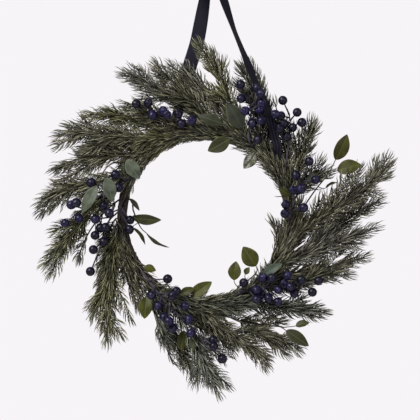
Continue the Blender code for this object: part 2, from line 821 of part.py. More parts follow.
# Needle sprays: root turn and side, tip x, y and z, heading at the tip, number of side twigs, tint

SPRAYS = [
    (12, 40, (202, -20, 78), 25, 1, "grey"),
    (16, 75, (166.6, -22, 161.2), 77, 1, "olive"),
    (26, 105, (76, -22, 108), 142, 0, "olive"),
    (29, -10, (105, -12, 188), 103, 0, "grey"),
    (44, -20, (64.3, 2, 251.1), 111, 1, "olive"),
    (50, 55, (45.7, -14, 244.9), 127, 1, "grey"),
    (59, 80, (-19.4, -30, 275.9), 130, 2, "moss"),
    (68, 20, (-36.4, -12, 241.8), 121, 1, "grey"),
    (79, 60, (-86.0, -20, 244.9), 137, 1, "olive"),
    (88, 10, (-140.3, -6, 226.3), 162, 2, "grey"),
    (100, 60, (-138.7, -20, 179.8), 166, 1, "olive"),
    (76, 120, (-66, -20, 132), 196, 0, "olive"),
    (110, 15, (-197.6, -8, 158.0), 185, 1, "moss"),
    (119, 75, (-239.5, -22, 122.5), 197, 2, "olive"),
    (104, 110, (-112, -24, 104), 222, 0, "moss"),
    (127, -20, (-203.8, 4, 100.8), 205, 1, "grey"),
    (134, 50, (-244.0, -12, 68.0), 213, 2, "olive"),
    (144, 85, (-265.8, -24, 17.0), 215, 2, "olive"),
    (160, -10, (-256.5, -6, -80.6), 225, 2, "moss"),
    (168, -40, (-199.0, 6, -74.4), 258, 1, "grey"),
    (180, 20, (-168.0, -8, -96.0), 240, 1, "grey"),
    (187, 75, (-152.7, -24, -203.0), 266, 3, "moss"),
    (205, 30, (-107.7, -10, -153.5), 271, 0, "olive"),
    (195, -50, (-179.0, 4, -158.0), 250, 1, "olive"),
    (229, 55, (-42.6, -18, -238.7), 296, 1, "blue"),
    (236, -15, (-14.7, 0, -258.9), 288, 1, "olive"),
    (243, 75, (25.6, -26, -280.6), 297, 2, "blue"),
    (255, 0, (47.3, -2, -218.6), 296, 1, "olive"),
    (263, 65, (100.0, -22, -238.7), 302, 1, "olive"),
    (268, 110, (88, -22, -128), 4, 0, "blue"),
    (276, 15, (152.7, -8, -212.4), 318, 1, "olive"),
    (292, 55, (196.1, -20, -147.3), 352, 1, "blue"),
    (308, 80, (233.3, -24, -89.9), 353, 1, "olive"),
    (317, 15, (259.6, -6, -57.4), 14, 1, "olive"),
    (326, 60, (275.0, -20, -10.9), 16, 2, "grey"),
    (335, -20, (281.3, 4, 31.0), 21, 1, "olive"),
    (345, 60, (293.7, -16, 93.0), 49, 2, "olive"),
    (329, 125, (95.3, -14, 4.7), 121, 0, "olive"),
]
NEEDLE_TINTS = {
    "olive": (0.07, 0.075, 0.035),
    "moss": (0.1, 0.1, 0.035),
    "grey": (0.085, 0.09, 0.06),
    "blue": (0.07, 0.095, 0.075),
}
STEM_OUTWARD = 0.6
STEM_LIFT = 0.45
SAG_REACH = 4 / 3
STEM_BENDS = (0.0, -5.0, 5.0, -10.0, 10.0, -15.0, 15.0, -20.0, 20.0)
SIDE_SHIFTS = (0, 25, -25, 50, -50, 75, -75)

# ways to set a needle, in order: more lean, turn aside and share of its length
NEEDLE_TRIES = ((0, 0, 1.0), (10, 0, 1.0), (-10, 0, 0.95), (4, 16, 0.95), (4, -16, 0.95), (0, 0, 0.7))


def spray_stem(turn, side, tip, heading, bend):
    """A stem that leaves the ring anticlockwise and outward and comes in to its tip on a heading."""
    root = seat(turn, side, STEM_RADIUS)
    away = round_bundle(turn, side)
    leaving = unit(from_heading(turn + 90) + STEM_OUTWARD * from_heading(turn) + STEM_LIFT * away)
    end = np.array(tip, float) - END_NEEDLE * from_heading(heading)
    reach = np.linalg.norm(end - root) / 3
    sag = SAG_REACH * bend * BACK
    return bezier(root, root + reach * leaving + sag, end - reach * from_heading(heading) + sag, end)


def rod_room(points, radius, owner):
    """Clear space round a line of points, to the stems, twigs and needles of other owners."""
    return min(rods.room_for(a, b, radius, radius, owner) for a, b in zip(points, points[1:]))


def stem_room(stem, owner):
    """Clear space round a stem, its root's seat on the ring apart."""
    places = [stem.at(mark) for mark in np.arange(0.0, stem.length, 3.0)]
    from_solids = solids.room_for(places, STEM_RADIUS)
    from_ring = ring_skin.room_for(places[3:], STEM_RADIUS)
    places = [stem.at(mark) for mark in np.linspace(0.0, stem.length, 12)]
    return min(from_solids, from_ring, rod_room(places, STEM_RADIUS, owner))


def place_stem(number, row):
    """A spray's stem and side, by the first of a few ways that keeps it clear of its neighbours."""
    turn, side, tip, heading = row[:4]
    for bend in STEM_BENDS:
        for shift in SIDE_SHIFTS:
            stem = spray_stem(turn, side + shift, tip, heading, bend)
            if stem_room(stem, number) > TWIG_ROOM:
                return stem, side + shift
    raise ValueError(f"no room for the stem of spray {number + 1}")


def add_rods(path, owner, radius, tip_radius, first=0.0):
    marks = np.linspace(first, path.length, max(3, int(path.length / 8)))
    for a, b in zip(marks, marks[1:]):
        thick_a, thick_b = (radius + (tip_radius - radius) * m / path.length for m in (a, b))
        rods.add(path.at(a), path.at(b), thick_a, thick_b, owner)


def needle_marks(length, first):
    """Where along a stem the needles stand, from first to its end."""
    count = max(1, round((length - first) / NEEDLE_PITCH))
    return np.linspace(first, length - NEEDLE_SEAT / 2, count + 1)


def twig_line(start, heading, side, length):
    """A side twig leaves at a spread angle and bends a little towards its stem's own heading."""
    angle = math.radians(TWIG_SPREAD)
    out = unit(math.cos(angle) * heading + math.sin(angle) * side)
    end = start + length * unit(out + 0.15 * heading)
    return bezier(start, start + length / 3 * out, end - length / 3 * unit(out + 0.3 * heading), end, 20)


def turn_about(vector, axis, degrees):
    angle = math.radians(degrees)
    return math.cos(angle) * vector + math.sin(angle) * np.cross(axis, vector)


def clear_twig(number, stem, foot, flat, length):
    """The side and line of the first twig at a foot with room round it, or nothing."""
    heading = stem.heading(foot)
    for share in TWIG_SHARES:
        for tilt in TWIG_TILTS:
            side = turn_about(flat, heading, tilt)
            line = twig_line(stem.at(foot) + STEM_TIP_RADIUS * side, heading, side, share * length)
            places = [line.at(mark) for mark in np.arange(4.0, line.length, 3.0)]
            room = min(room_round(places, TWIG_RADIUS), rod_room(places, TWIG_RADIUS, number))
            if room > TWIG_ROOM:
                return side, line
    return None


def place_twigs(number, stem, count):
    """The foot, side and line of each side twig. They stand on alternate sides, among the needles."""
    marks = needle_marks(stem.length, FIRST_STEM_NEEDLES)
    placed = []
    for k in range(count):
        wanted = stem.length * (0.3 + 0.5 * (k + 0.5) / count)
        foot = marks[np.argmin(abs(marks - wanted))]
        flat = unit(np.cross(stem.heading(foot), FRONT)) * (1 if k % 2 else -1)
        found = clear_twig(number, stem, foot, flat, TWIG_REACH * (stem.length - foot) + TWIG_LEAST)
        if found:
            placed.append((foot, *found))
    return placed


def needle_fits(base, tip, owner):
    """A needle keeps clear of every other stem, needle and solid."""
    length = np.linalg.norm(tip - base)
    along = (tip - base) / length
    places = [base + mark * along for mark in np.arange(3.5, length + 0.1, 2.3)]
    if room_round(places, NEEDLE_RADIUS) < NEEDLE_ROOM:
        return False
    start = base + NEEDLE_RADIUS * along
    return rods.room_for(start, tip, NEEDLE_RADIUS, NEEDLE_POINT_RADIUS, owner) > NEEDLE_ROOM


def grow_needles(shell, span, path, mark, owner, draw):
    """Raise one needle from each face of a short span, leaning forward by turns more and less."""
    heading = path.heading(mark)
    ending = max(0.0, 1.0 - (path.length - mark) / END_NEEDLE)
    for k, key in enumerate(span):
        if key not in shell.faces:
            continue
        base = shell.middle(key)
        outward = base - path.at(mark)
        out = unit(outward - (outward @ heading) * heading)
        slant = draw.uniform(-NEEDLE_LEAN_SPREAD, NEEDLE_LEAN_SPREAD)
        lean = NEEDLE_LEANS[k % 2] - END_LEAN * ending + slant
        swing = draw.uniform(-NEEDLE_TURN_SPREAD, NEEDLE_TURN_SPREAD)
        length = NEEDLE_LENGTH * draw.uniform(*NEEDLE_LENGTHS)
        for more, aside, share in NEEDLE_TRIES:
            angle = math.radians(lean + more)
            towards = turn_about(out, heading, swing + aside)
            tip = base + share * length * (math.cos(angle) * heading + math.sin(angle) * towards)
            if needle_fits(base, tip, owner):
                shell.spike(key, tip)
                rods.add(base, tip, NEEDLE_RADIUS, NEEDLE_POINT_RADIUS, owner)
                break


def needled_stem(shell, start, path, radius, tip_radius, first):
    """Skin a stem and return its needle spans with the place of each along the path."""
    marks = needle_marks(path.length, first)
    stops = [mark + half for mark in marks for half in (-NEEDLE_SEAT / 2, NEEDLE_SEAT / 2)]
    twist = math.radians(WHORL_TWIST)
    ring, spans = sweep_stem(shell, start, path, stops, radius, tip_radius, twist)
    shell.close(ring, path.at(path.length) + END_NEEDLE * path.heading(path.length))
    return list(zip(marks, spans[1::2]))


def grow_twig(shell, whorls, foot, side_way, line):
    """Grow a side twig out of the stem's face that looks its way. Returns its path and needle spans."""
    span = min(whorls, key=lambda whorl: abs(whorl[0] - foot))[1]
    free = [key for key in span if key in shell.faces]
    key = max(free, key=lambda key: shell.normal(key) @ side_way)
    shift = shell.middle(key) - line.at(0.0)
    path = Path(line.points + shift * np.linspace(1.0, 0.0, len(line.points))[:, None])
    base = shell.open_face(key)
    return path, needled_stem(shell, base, path, TWIG_RADIUS, TWIG_TIP_RADIUS, FIRST_TWIG_NEEDLES)


def twig_owner(number, k):
    return len(SPRAYS) + 10 * number + k


def make_spray(number, row, stem, side, twigs):
    draw = random.Random(1000 + number)
    shell = Shell()
    start = root_ring(shell, stem, round_bundle(row[0], side))
    whorls = needled_stem(shell, start, stem, STEM_RADIUS, STEM_TIP_RADIUS, FIRST_STEM_NEEDLES)
    groups = [(number, stem, whorls)]
    for k, twig in enumerate(twigs):
        groups.append((twig_owner(number, k), *grow_twig(shell, whorls, *twig)))
    for owner, path, spans in groups:
        for mark, span in spans:
            grow_needles(shell, span, path, mark, owner, draw)
    name = f"needle_spray_{number + 1:02d}"
    green = plain_material(name, NEEDLE_TINTS[row[5]], 0.7)
    make_object(name, shell.corners, list(shell.faces.values()), green)


def make_sprays():
    """All stems stand first, then all side twigs, then the needles in the space between them."""
    stems = []
    for number, row in enumerate(SPRAYS):
        stem, side = place_stem(number, row)
        add_rods(stem, number, STEM_RADIUS, STEM_TIP_RADIUS)
        stems.append((stem, side))
    twigs = []
    for number, (row, (stem, side)) in enumerate(zip(SPRAYS, stems)):
        twigs.append(place_twigs(number, stem, row[4]))
        for k, twig in enumerate(twigs[-1]):
            add_rods(twig[2], twig_owner(number, k), TWIG_RADIUS, TWIG_TIP_RADIUS, first=5.0)
    for number, (row, (stem, side)) in enumerate(zip(SPRAYS, stems)):
        make_spray(number, row, stem, side, twigs[number])


make_ring()
make_ribbon()
for name, row in BERRY_SPRIGS.items():
    make_berry_sprig(name, *row)
for name, row in LEAF_SPRIGS.items():
    make_leaf_sprig(name, *row)
make_sprays()
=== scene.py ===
import math

import bpy
import numpy as np
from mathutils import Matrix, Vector
from mathutils.bvhtree import BVHTree


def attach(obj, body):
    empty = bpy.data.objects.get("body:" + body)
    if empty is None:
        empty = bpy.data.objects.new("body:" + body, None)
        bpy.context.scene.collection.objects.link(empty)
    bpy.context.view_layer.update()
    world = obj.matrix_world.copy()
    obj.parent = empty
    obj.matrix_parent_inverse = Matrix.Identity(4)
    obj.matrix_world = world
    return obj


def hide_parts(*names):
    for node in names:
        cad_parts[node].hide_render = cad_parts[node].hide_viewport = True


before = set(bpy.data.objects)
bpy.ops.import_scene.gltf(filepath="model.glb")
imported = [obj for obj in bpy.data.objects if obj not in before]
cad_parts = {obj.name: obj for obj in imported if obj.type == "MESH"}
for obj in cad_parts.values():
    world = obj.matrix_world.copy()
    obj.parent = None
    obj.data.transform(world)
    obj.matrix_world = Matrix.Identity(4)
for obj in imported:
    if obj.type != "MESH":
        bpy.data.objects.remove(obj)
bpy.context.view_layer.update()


# Camera
# A long lens stands square to the wreath and level with its middle, so that the ring shows as a
# circle. The view is 651 mm wide at the wreath, and the top of the ribbon's loop lies above it.

MM = 0.001
PIXEL = 1.55 * MM
PHOTO_SIDE = 420
VIEW_MIDDLE = (-0.003, -0.3736)
CAMERA_DISTANCE = 3.0


def new_object(name, data):
    thing = bpy.data.objects.new(name, data)
    bpy.context.scene.collection.objects.link(thing)
    return thing


camera = new_object("camera", bpy.data.cameras.new("camera"))
camera.data.lens = camera.data.sensor_width * CAMERA_DISTANCE / (PHOTO_SIDE * PIXEL)
camera.location = (VIEW_MIDDLE[0], -CAMERA_DISTANCE, VIEW_MIDDLE[1])
camera.rotation_euler = (math.radians(90), 0, 0)
bpy.context.scene.camera = camera


# Ring of twigs
# Three woody canes and a few thinner vines, twisted together into a bundle and bent to a circle.
# The bark is dark, dry and rough. All sizes are in millimetres from the middle of the ring; a turn
# is an angle round the ring, anticlockwise from its right-hand side, and a side is an angle round
# the bundle, 0 at its outer edge and 90 at its front.

RING_CENTRE = np.array([-10.0, 0.0, -386.0])
RING_RADIUS = 130.0
RING_WAVE = 1.5
RING_DEPTH_WAVE = 1.2
RING_POINTS = 240
CANE_TURNS = 4
CANES = 3
CANE_REACH = 4.3
CANE_RADIUS = 3.7
VINES = 6
VINE_REACH = 6.6
VINE_RADIUS = 1.3
VINE_TURNS = 7
FRONT = np.array([0.0, -1.0, 0.0])
BACK = -FRONT


def unit(vector):
    return vector / np.linalg.norm(vector)


def from_heading(degrees):
    """A direction in the plane of the ring, in degrees anticlockwise from the right."""
    angle = math.radians(degrees)
    return np.array([math.cos(angle), 0.0, math.sin(angle)])


def placed(points):
    """Millimetres from the middle of the ring, turned into metres in the frame."""
    return (np.array(points, float) + RING_CENTRE) * MM


def ring_line(turn):
    """Middle of the twig bundle."""
    angle = math.radians(turn)
    reach = RING_RADIUS + RING_WAVE * math.sin(3 * angle + 0.7)
    depth = RING_DEPTH_WAVE * math.sin(2 * angle + 1.0)
    return np.array([reach * math.cos(angle), depth, reach * math.sin(angle)])


def round_bundle(turn, side):
    """Direction away from the middle of the bundle."""
    angle = math.radians(side)
    return math.cos(angle) * from_heading(turn) + math.sin(angle) * FRONT


class Nodes:
    """A node tree under construction, with short ways to place and join its nodes."""

    def __init__(self, tree):
        self.tree = tree
        self.family = tree.bl_idname.removesuffix("Tree")

    def link(self, source, target):
        self.tree.links.new(source, target)

    def socket(self, sockets, key):
        if isinstance(key, int):
            return sockets[key]
        return next(s for s in sockets if s.enabled and key in (s.identifier, s.name))

    def put(self, kind, links=None, **settings):
        """Place a node, set its properties, and feed its inputs with values or other outputs.

        A short kind, such as SetMaterial, is of the tree's own family.
        """
        node = self.tree.nodes.new(kind if "Node" in kind else self.family + kind)
        for name, value in settings.items():
            setattr(node, name, value)
        for key, value in (links or {}).items():
            target = self.socket(node.inputs, key)
            if isinstance(value, bpy.types.NodeSocket):
                self.link(value, target)
            else:
                target.default_value = value
        return node

    def get(self, kind, links=None, out=0, **settings):
        """Place a node and return one of its outputs."""
        node = self.put(kind, links, **settings)
        return self.socket(node.outputs, out)

    def sum(self, operation, *values):
        """One step of arithmetic, in a geometry tree or a shader tree alike."""
        return self.get("ShaderNodeMath", dict(enumerate(values)), operation=operation)

    def chance(self, low, high, seed, step):
        """A random number of its own for each point or instance."""
        links = {"Min_001": low, "Max_001": high, "Seed": self.sum("ADD", seed, float(step))}
        return self.get("FunctionNodeRandomValue", links, "Value_001", data_type="FLOAT")

    def mix(self, share, first, second):
        links = {"Factor_Float": share, "A_Color": first, "B_Color": second}
        return self.get("ShaderNodeMix", links, "Result_Color", data_type="RGBA")

    def scaled(self, vector, factor):
        """A vector or a colour times a number."""
        return self.get("ShaderNodeVectorMath", {0: vector, "Scale": factor}, operation="SCALE")

    def remap(self, value, low, high, to_low=0.0, to_high=1.0, smooth=False):
        """A value moved from one range into another, and held inside it."""
        links = {"Value": value, "From Min": low, "From Max": high, "To Min": to_low, "To Max": to_high}
        shape = "SMOOTHSTEP" if smooth else "LINEAR"
        return self.get("ShaderNodeMapRange", links, interpolation_type=shape)

    def attribute(self, name):
        """A value that the mesh carries at its points."""
        return self.get("ShaderNodeAttribute", out="Fac", attribute_name=name)

    def logic(self, operation, *values):
        return self.get("FunctionNodeBooleanMath", dict(enumerate(values)), operation=operation)

    def less(self, first, second):
        links = {"A": first, "B": second}
        return self.get("FunctionNodeCompare", links, data_type="FLOAT", operation="LESS_THAN")

    def turned(self, rotation, axis, angle):
        """A rotation followed by a turn about one of its own axes."""
        turn = self.get("FunctionNodeAxisAngleToRotation", {"Axis": axis, "Angle": angle})
        links = {"Rotation": rotation, "Rotate By": turn}
        return self.get("FunctionNodeRotateRotation", links, rotation_space="LOCAL")

    def swept(self, lines, sides):
        """A round rod along each line, as thick as the line says."""
        profile = self.get("GeometryNodeCurvePrimitiveCircle", {"Resolution": sides, "Radius": 1.0})
        radius = self.get("GeometryNodeInputRadius")
        links = {"Curve": lines, "Profile Curve": profile, "Scale": radius, "Fill Caps": True}
        return self.get("GeometryNodeCurveToMesh", links)

    def plant(self, links, values, material, stems, result):
        """Copies on points, each with values of its own, are made real and joined with the stems."""
        made = self.get("GeometryNodeInstanceOnPoints", links)
        for name, value in values.items():
            links = {"Geometry": made, "Name": name, "Value": value}
            made = self.get("GeometryNodeStoreNamedAttribute", links, data_type="FLOAT", domain="INSTANCE")
        made = self.get("GeometryNodeRealizeInstances", {"Geometry": made})
        made = self.get("GeometryNodeSetMaterial", {"Geometry": made, "Material": material})
        join = self.put("GeometryNodeJoinGeometry")
        self.link(made, join.inputs[0])
        self.link(stems, join.inputs[0])
        self.link(join.outputs[0], result)


def new_group(name, kind, inputs, outputs):
    """An empty node group with named inputs and outputs, and its input and output nodes."""
    tree = bpy.data.node_groups.new(name, kind)
    for label, (form, *value) in inputs.items():
        socket = tree.interface.new_socket(name=label, in_out="INPUT", socket_type="NodeSocket" + form)
        if value:
            socket.default_value = value[0]
    for label, form in outputs.items():
        tree.interface.new_socket(name=label, in_out="OUTPUT", socket_type="NodeSocket" + form)
    nodes = Nodes(tree)
    return nodes, nodes.put("NodeGroupInput").outputs, nodes.put("NodeGroupOutput").inputs


def lines_object(name, lines):
    """A curve object through lines of points in millimetres, each with a radius at every point."""
    data = bpy.data.curves.new(name, "CURVE")
    data.dimensions = "3D"
    for points, radii in lines:
        spline = data.splines.new("POLY")
        spline.points.add(len(points) - 1)
        places = np.concatenate([placed(points), np.ones((len(points), 1))], axis=1)
        spline.points.foreach_set("co", places.ravel().astype(np.float32))
        spline.points.foreach_set("radius", (np.array(radii) * MM).astype(np.float32))
    return new_object(name, data)


def grow(thing, group, settings):
    """Run a geometry tree on an object once, and keep what it makes as a plain mesh object."""
    name = thing.name
    modifier = thing.modifiers.new("grow", "NODES")
    modifier.node_group = group
    for item in group.interface.items_tree:
        if item.item_type == "SOCKET" and item.in_out == "INPUT" and item.name in settings:
            modifier[item.identifier] = settings[item.name]
    thing.update_tag()
    graph = bpy.context.evaluated_depsgraph_get()
    mesh = bpy.data.meshes.new_from_object(thing.evaluated_get(graph))
    thing.modifiers.remove(modifier)
    bpy.data.objects.remove(thing)
    mesh.name = name
    return new_object(name, mesh)


def rod_group():
    """Sweeps round rods along curves, with bark that stands out in ridges and knots."""
    inputs = {
        "Lines": ("Geometry",),
        "Sides": ("Int", 8),
        "Ridge Height": ("Float", 0.0003),
        "Ridge Scale": ("Float", 300.0),
        "Seed": ("Float", 0.0),
        "Bark": ("Material",),
    }
    nodes, given, result = new_group("barked rods", "GeometryNodeTree", inputs, {"Rods": "Geometry"})
    rods = nodes.swept(given["Lines"], given["Sides"])
    place = nodes.get("InputPosition")
    links = {"Vector": place, "W": given["Seed"], "Scale": given["Ridge Scale"], "Detail": 3.0}
    noise = nodes.get("ShaderNodeTexNoise", links, noise_dimensions="4D")
    height = nodes.sum("MULTIPLY", nodes.sum("SUBTRACT", noise, 0.5), given["Ridge Height"])
    offset = nodes.scaled(nodes.get("InputNormal"), height)
    rough = nodes.get("SetPosition", {"Geometry": rods, "Offset": offset})
    smooth = nodes.get("SetShadeSmooth", {"Geometry": rough})
    whole = nodes.get("RealizeInstances", {"Geometry": smooth})
    made = nodes.get("SetMaterial", {"Geometry": whole, "Material": given["Bark"]})
    nodes.link(made, result["Rods"])
    return nodes.tree


BARKED_RODS = rod_group()


def patchy_group():
    """Colour that drifts between two tints in patches, with fine flecks on top."""
    grey = (0.5, 0.5, 0.5, 1.0)
    inputs = {
        "Colour": ("Color", grey),
        "Other Colour": ("Color", grey),
        "Patch Scale": ("Float", 60.0),
        "Fleck Scale": ("Float", 900.0),
        "Fleck": ("Float", 0.3),
    }
    outputs = {"Colour": "Color", "Flecks": "Float"}
    nodes, given, result = new_group("patchy colour", "ShaderNodeTree", inputs, outputs)
    place = nodes.get("TexCoord", out="Object")
    patches = nodes.get("TexNoise", {"Vector": place, "Scale": given["Patch Scale"], "Detail": 2.0})
    flecks = nodes.get("TexNoise", {"Vector": place, "Scale": given["Fleck Scale"], "Detail": 3.0})
    tint = nodes.mix(nodes.remap(patches, 0.35, 0.65), given["Colour"], given["Other Colour"])
    swing = nodes.sum("MULTIPLY", nodes.sum("SUBTRACT", flecks, 0.5), given["Fleck"])
    nodes.link(nodes.scaled(tint, nodes.sum("ADD", swing, 1.0)), result["Colour"])
    nodes.link(flecks, result["Flecks"])
    return nodes.tree


PATCHY = patchy_group()


def new_material(name, **constants):
    """A material with its own Principled shader, whose plain values are set on its sockets."""
    material = bpy.data.materials.new(name)
    material.use_nodes = True
    nodes = Nodes(material.node_tree)
    shader = material.node_tree.nodes["Principled BSDF"]
    for key, value in constants.items():
        shader.inputs[key.replace("_", " ")].default_value = value
    return material, nodes, shader


def opaque(colour):
    return (*colour, 1.0)


def patchy(nodes, colour, other, patch_scale, fleck_scale, fleck):
    """The shared patchy colour with values of its own, as its colour and its flecks."""
    values = {
        "Colour": opaque(colour),
        "Other Colour": opaque(other),
        "Patch Scale": patch_scale,
        "Fleck Scale": fleck_scale,
        "Fleck": fleck,
    }
    return nodes.put("Group", values, node_tree=PATCHY).outputs


def emboss(nodes, shader, height, strength, distance):
    bump = nodes.get("Bump", {"Height": height, "Strength": strength, "Distance": distance})
    nodes.link(bump, shader.inputs["Normal"])


def bark_material(name, colour, other, relief=0.5):
    """Dry bark or wound tape, in dark and less dark patches with coarse flecks."""
    material, nodes, shader = new_material(name, Roughness=0.8)
    tint = patchy(nodes, colour, other, patch_scale=90.0, fleck_scale=700.0, fleck=0.9)
    nodes.link(tint["Colour"], shader.inputs["Base Color"])
    emboss(nodes, shader, tint["Flecks"], relief, 0.0006)
    return material


def finish_piece(piece, slot, *node_names):
    """Every piece rides on the one body and stands for its solids; its finish slot is not used."""
    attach(piece, "root")
    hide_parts(*node_names)


def twisted_line(turns, first_side, reach, radius, wander, draw):
    """A cane or vine that winds round the bundle, thicker and thinner along its way."""
    waves = [(draw.integers(2, 9), draw.uniform(0, 2 * math.pi)) for _ in range(3)]
    points, radii = [], []
    for step in range(RING_POINTS + 1):
        turn = 360.0 * step / RING_POINTS
        drift = sum(math.sin(k * math.radians(turn) + phase) for k, phase in waves) / len(waves)
        side = first_side - turns * turn + wander * drift
        points.append(ring_line(turn) + (reach + 0.5 * drift) * round_bundle(turn, side))
        radii.append(radius * (1 + 0.18 * drift))
    return points, radii


def make_ring():
    draw = np.random.default_rng(5)
    lines = [
        twisted_line(CANE_TURNS, -120.0 * k, CANE_REACH, CANE_RADIUS, 4.0, draw) for k in range(CANES)
    ]
    for k in range(VINES):
        turns = VINE_TURNS + k % 3
        lines.append(twisted_line(turns, 360.0 * k / VINES, VINE_REACH, VINE_RADIUS, 25.0, draw))
    bark = bark_material("bark", (0.042, 0.026, 0.020), (0.012, 0.008, 0.007), 1.0)
    settings = {"Sides": 14, "Ridge Height": 0.0024, "Ridge Scale": 380.0, "Seed": 2.0, "Bark": bark}
    ring = grow(lines_object("wound_twigs", lines), BARKED_RODS, settings)
    finish_piece(ring, "twigs", "twig_ring")


make_ring()


# Ribbon
# One length of dark navy satin ribbon, 22 mm wide, looped over whatever holds the wreath. Each end
# is gathered and wrapped once round the ring. The rows are those of the solid, with more twist low on
# the right: x, y, z, width and how far the width has turned from straight back, in degrees.

LEFT_LEG = [
    (6.3, 0.0, 383.5, 22.0, 6.0),
    (2.3, 0.8, 360.0, 22.0, 30.0),
    (-1.9, 1.5, 334.2, 22.0, 53.0),
    (-12.4, 3.0, 275.9, 22.0, 86.0),
    (-23.6, 4.5, 238.7, 22.0, 90.0),
    (-33.5, 6.5, 200.0, 20.0, 90.0),
    (-44.5, 9.0, 158.0, 16.0, 90.0),
]
RIGHT_LEG = [
    (13.7, 0.0, 383.5, 22.0, 6.0),
    (20.5, -3.5, 360.0, 22.0, 28.0),
    (29.1, -7.5, 334.2, 22.0, 36.0),
    (43.4, -14.0, 291.4, 22.0, 20.0),
    (58.9, -20.0, 252.7, 22.0, 24.0),
    (67.0, -23.0, 232.5, 22.0, 33.0),
    (76.6, -27.0, 207.7, 21.0, 28.0),
    (92.0, -28.0, 172.1, 18.0, 40.0),
    (103.0, -27.0, 137.0, 16.0, 60.0),
    (110.5, -25.0, 108.0, 15.0, 72.0),
]
LEFT_WRAP = {"turn": 113.0, "first_side": -35.0, "last_side": -330.0}
RIGHT_WRAP = {"turn": 36.0, "first_side": 80.0, "last_side": 380.0}
RIBBON_WIDTH = 22.0
RIBBON_THICKNESS = 0.5
WRAP_REACH = 9.2
WRAP_WIDTH = 14.0
WRAP_STEPS = 13
HOOK_FLAT = 4.0
HOOK_HEIGHT = 386.4
ROWS_PER_SPAN = 4
RIBBON_LANES = 18
GATHERS = 3
GATHER_DEPTH = 0.55
THREAD_PITCH = 0.45


def curve_through(points, per_span=12):
    """Catmull-Rom curve through a few given points."""
    points = [np.array(p, float) for p in points]
    ends = [2 * points[0] - points[1]] + points + [2 * points[-1] - points[-2]]
    line = []
    for a, b, c, d in zip(ends, ends[1:], ends[2:], ends[3:]):
        for t in np.linspace(0.0, 1.0, per_span, endpoint=False):
            line.append(
                0.5 * (2 * b + (c - a) * t + (2 * a - 5 * b + 4 * c - d) * t**2)
                + 0.5 * (3 * b - a - 3 * c + d) * t**3
            )
    return np.array(line + [points[-1]])


def mesh_object(name, places, faces, sheet=None, **values):
    """A smooth mesh object from places in metres, with a UV map and named values at its corners."""
    mesh = bpy.data.meshes.new(name)
    mesh.from_pydata(places.tolist(), [], faces)
    mesh.shade_smooth()
    if sheet is not None:
        corner_of_loop = np.zeros(len(mesh.loops), int)
        mesh.loops.foreach_get("vertex_index", corner_of_loop)
        spread = np.array(sheet, np.float32)[corner_of_loop]
        mesh.uv_layers.new(name="sheet").uv.foreach_set("vector", spread.ravel())
    for label, value in values.items():
        mesh.attributes.new(label, "FLOAT", "POINT").data.foreach_set("value", np.array(value, np.float32))
    return new_object(name, mesh)


def leg_rows(leg):
    """Middle, width direction and width of each row, from the hook down."""
    rows = []
    line = curve_through(leg, per_span=2)
    for i, (x, y, z, width, turned) in enumerate(line):
        ahead = line[min(i + 1, len(line) - 1)] - line[max(i - 1, 0)]
        down = unit(np.array([ahead[0], 0.0, ahead[2]]))
        sideways = np.array([-down[2], 0.0, down[0]])
        angle = math.radians(turned)
        across = math.cos(angle) * BACK + math.sin(angle) * sideways
        rows.append((np.array([x, y, z]), across, width))
    return rows


def wrap_rows(wrap, across):
    """Rows round the twig bundle, which lie square to the ring."""
    along = from_heading(wrap["turn"] + 90)
    along = along if along @ across > 0 else -along
    sides = np.linspace(wrap["first_side"], wrap["last_side"], WRAP_STEPS)
    places = [ring_line(wrap["turn"]) + WRAP_REACH * round_bundle(wrap["turn"], side) for side in sides]
    return [(place, along, WRAP_WIDTH) for place in places]


def ribbon_rows():
    """All rows in order: left end, left leg, the flat on the hook, right leg and right end."""
    halves = []
    for leg, wrap in ((LEFT_LEG, LEFT_WRAP), (RIGHT_LEG, RIGHT_WRAP)):
        down = leg_rows(leg)
        halves.append(down + wrap_rows(wrap, down[-1][1]))
    hook = -RING_CENTRE[0]
    flat = [
        (np.array([hook + side * HOOK_FLAT / 2, 0.0, HOOK_HEIGHT]), BACK, RIBBON_WIDTH) for side in (-1, 1)
    ]
    return halves[0][::-1] + flat + halves[1]


def satin_material():
    """Fine cross threads with a firm edge on each side."""
    material, nodes, shader = new_material("navy_satin", Roughness=0.5, Specular_IOR_Level=0.22)
    parts = nodes.put("SeparateXYZ", {"Vector": nodes.get("UVMap", uv_map="sheet")}).outputs
    threads = nodes.sum("SINE", nodes.sum("MULTIPLY", parts["Y"], 2 * math.pi / THREAD_PITCH))
    navy, lighter, dark = (0.0075, 0.0065, 0.0150), (0.0105, 0.0095, 0.020), (0.008, 0.0075, 0.018)
    base = patchy(nodes, navy, lighter, patch_scale=25.0, fleck_scale=1200.0, fleck=0.3)
    edge = nodes.sum("ABSOLUTE", nodes.sum("SUBTRACT", parts["X"], 0.5))
    firm = nodes.remap(edge, 0.45, 0.47, to_high=0.5)
    nodes.link(nodes.mix(firm, base["Colour"], opaque(dark)), shader.inputs["Base Color"])
    emboss(nodes, shader, threads, 0.25, 0.0001)
    return material


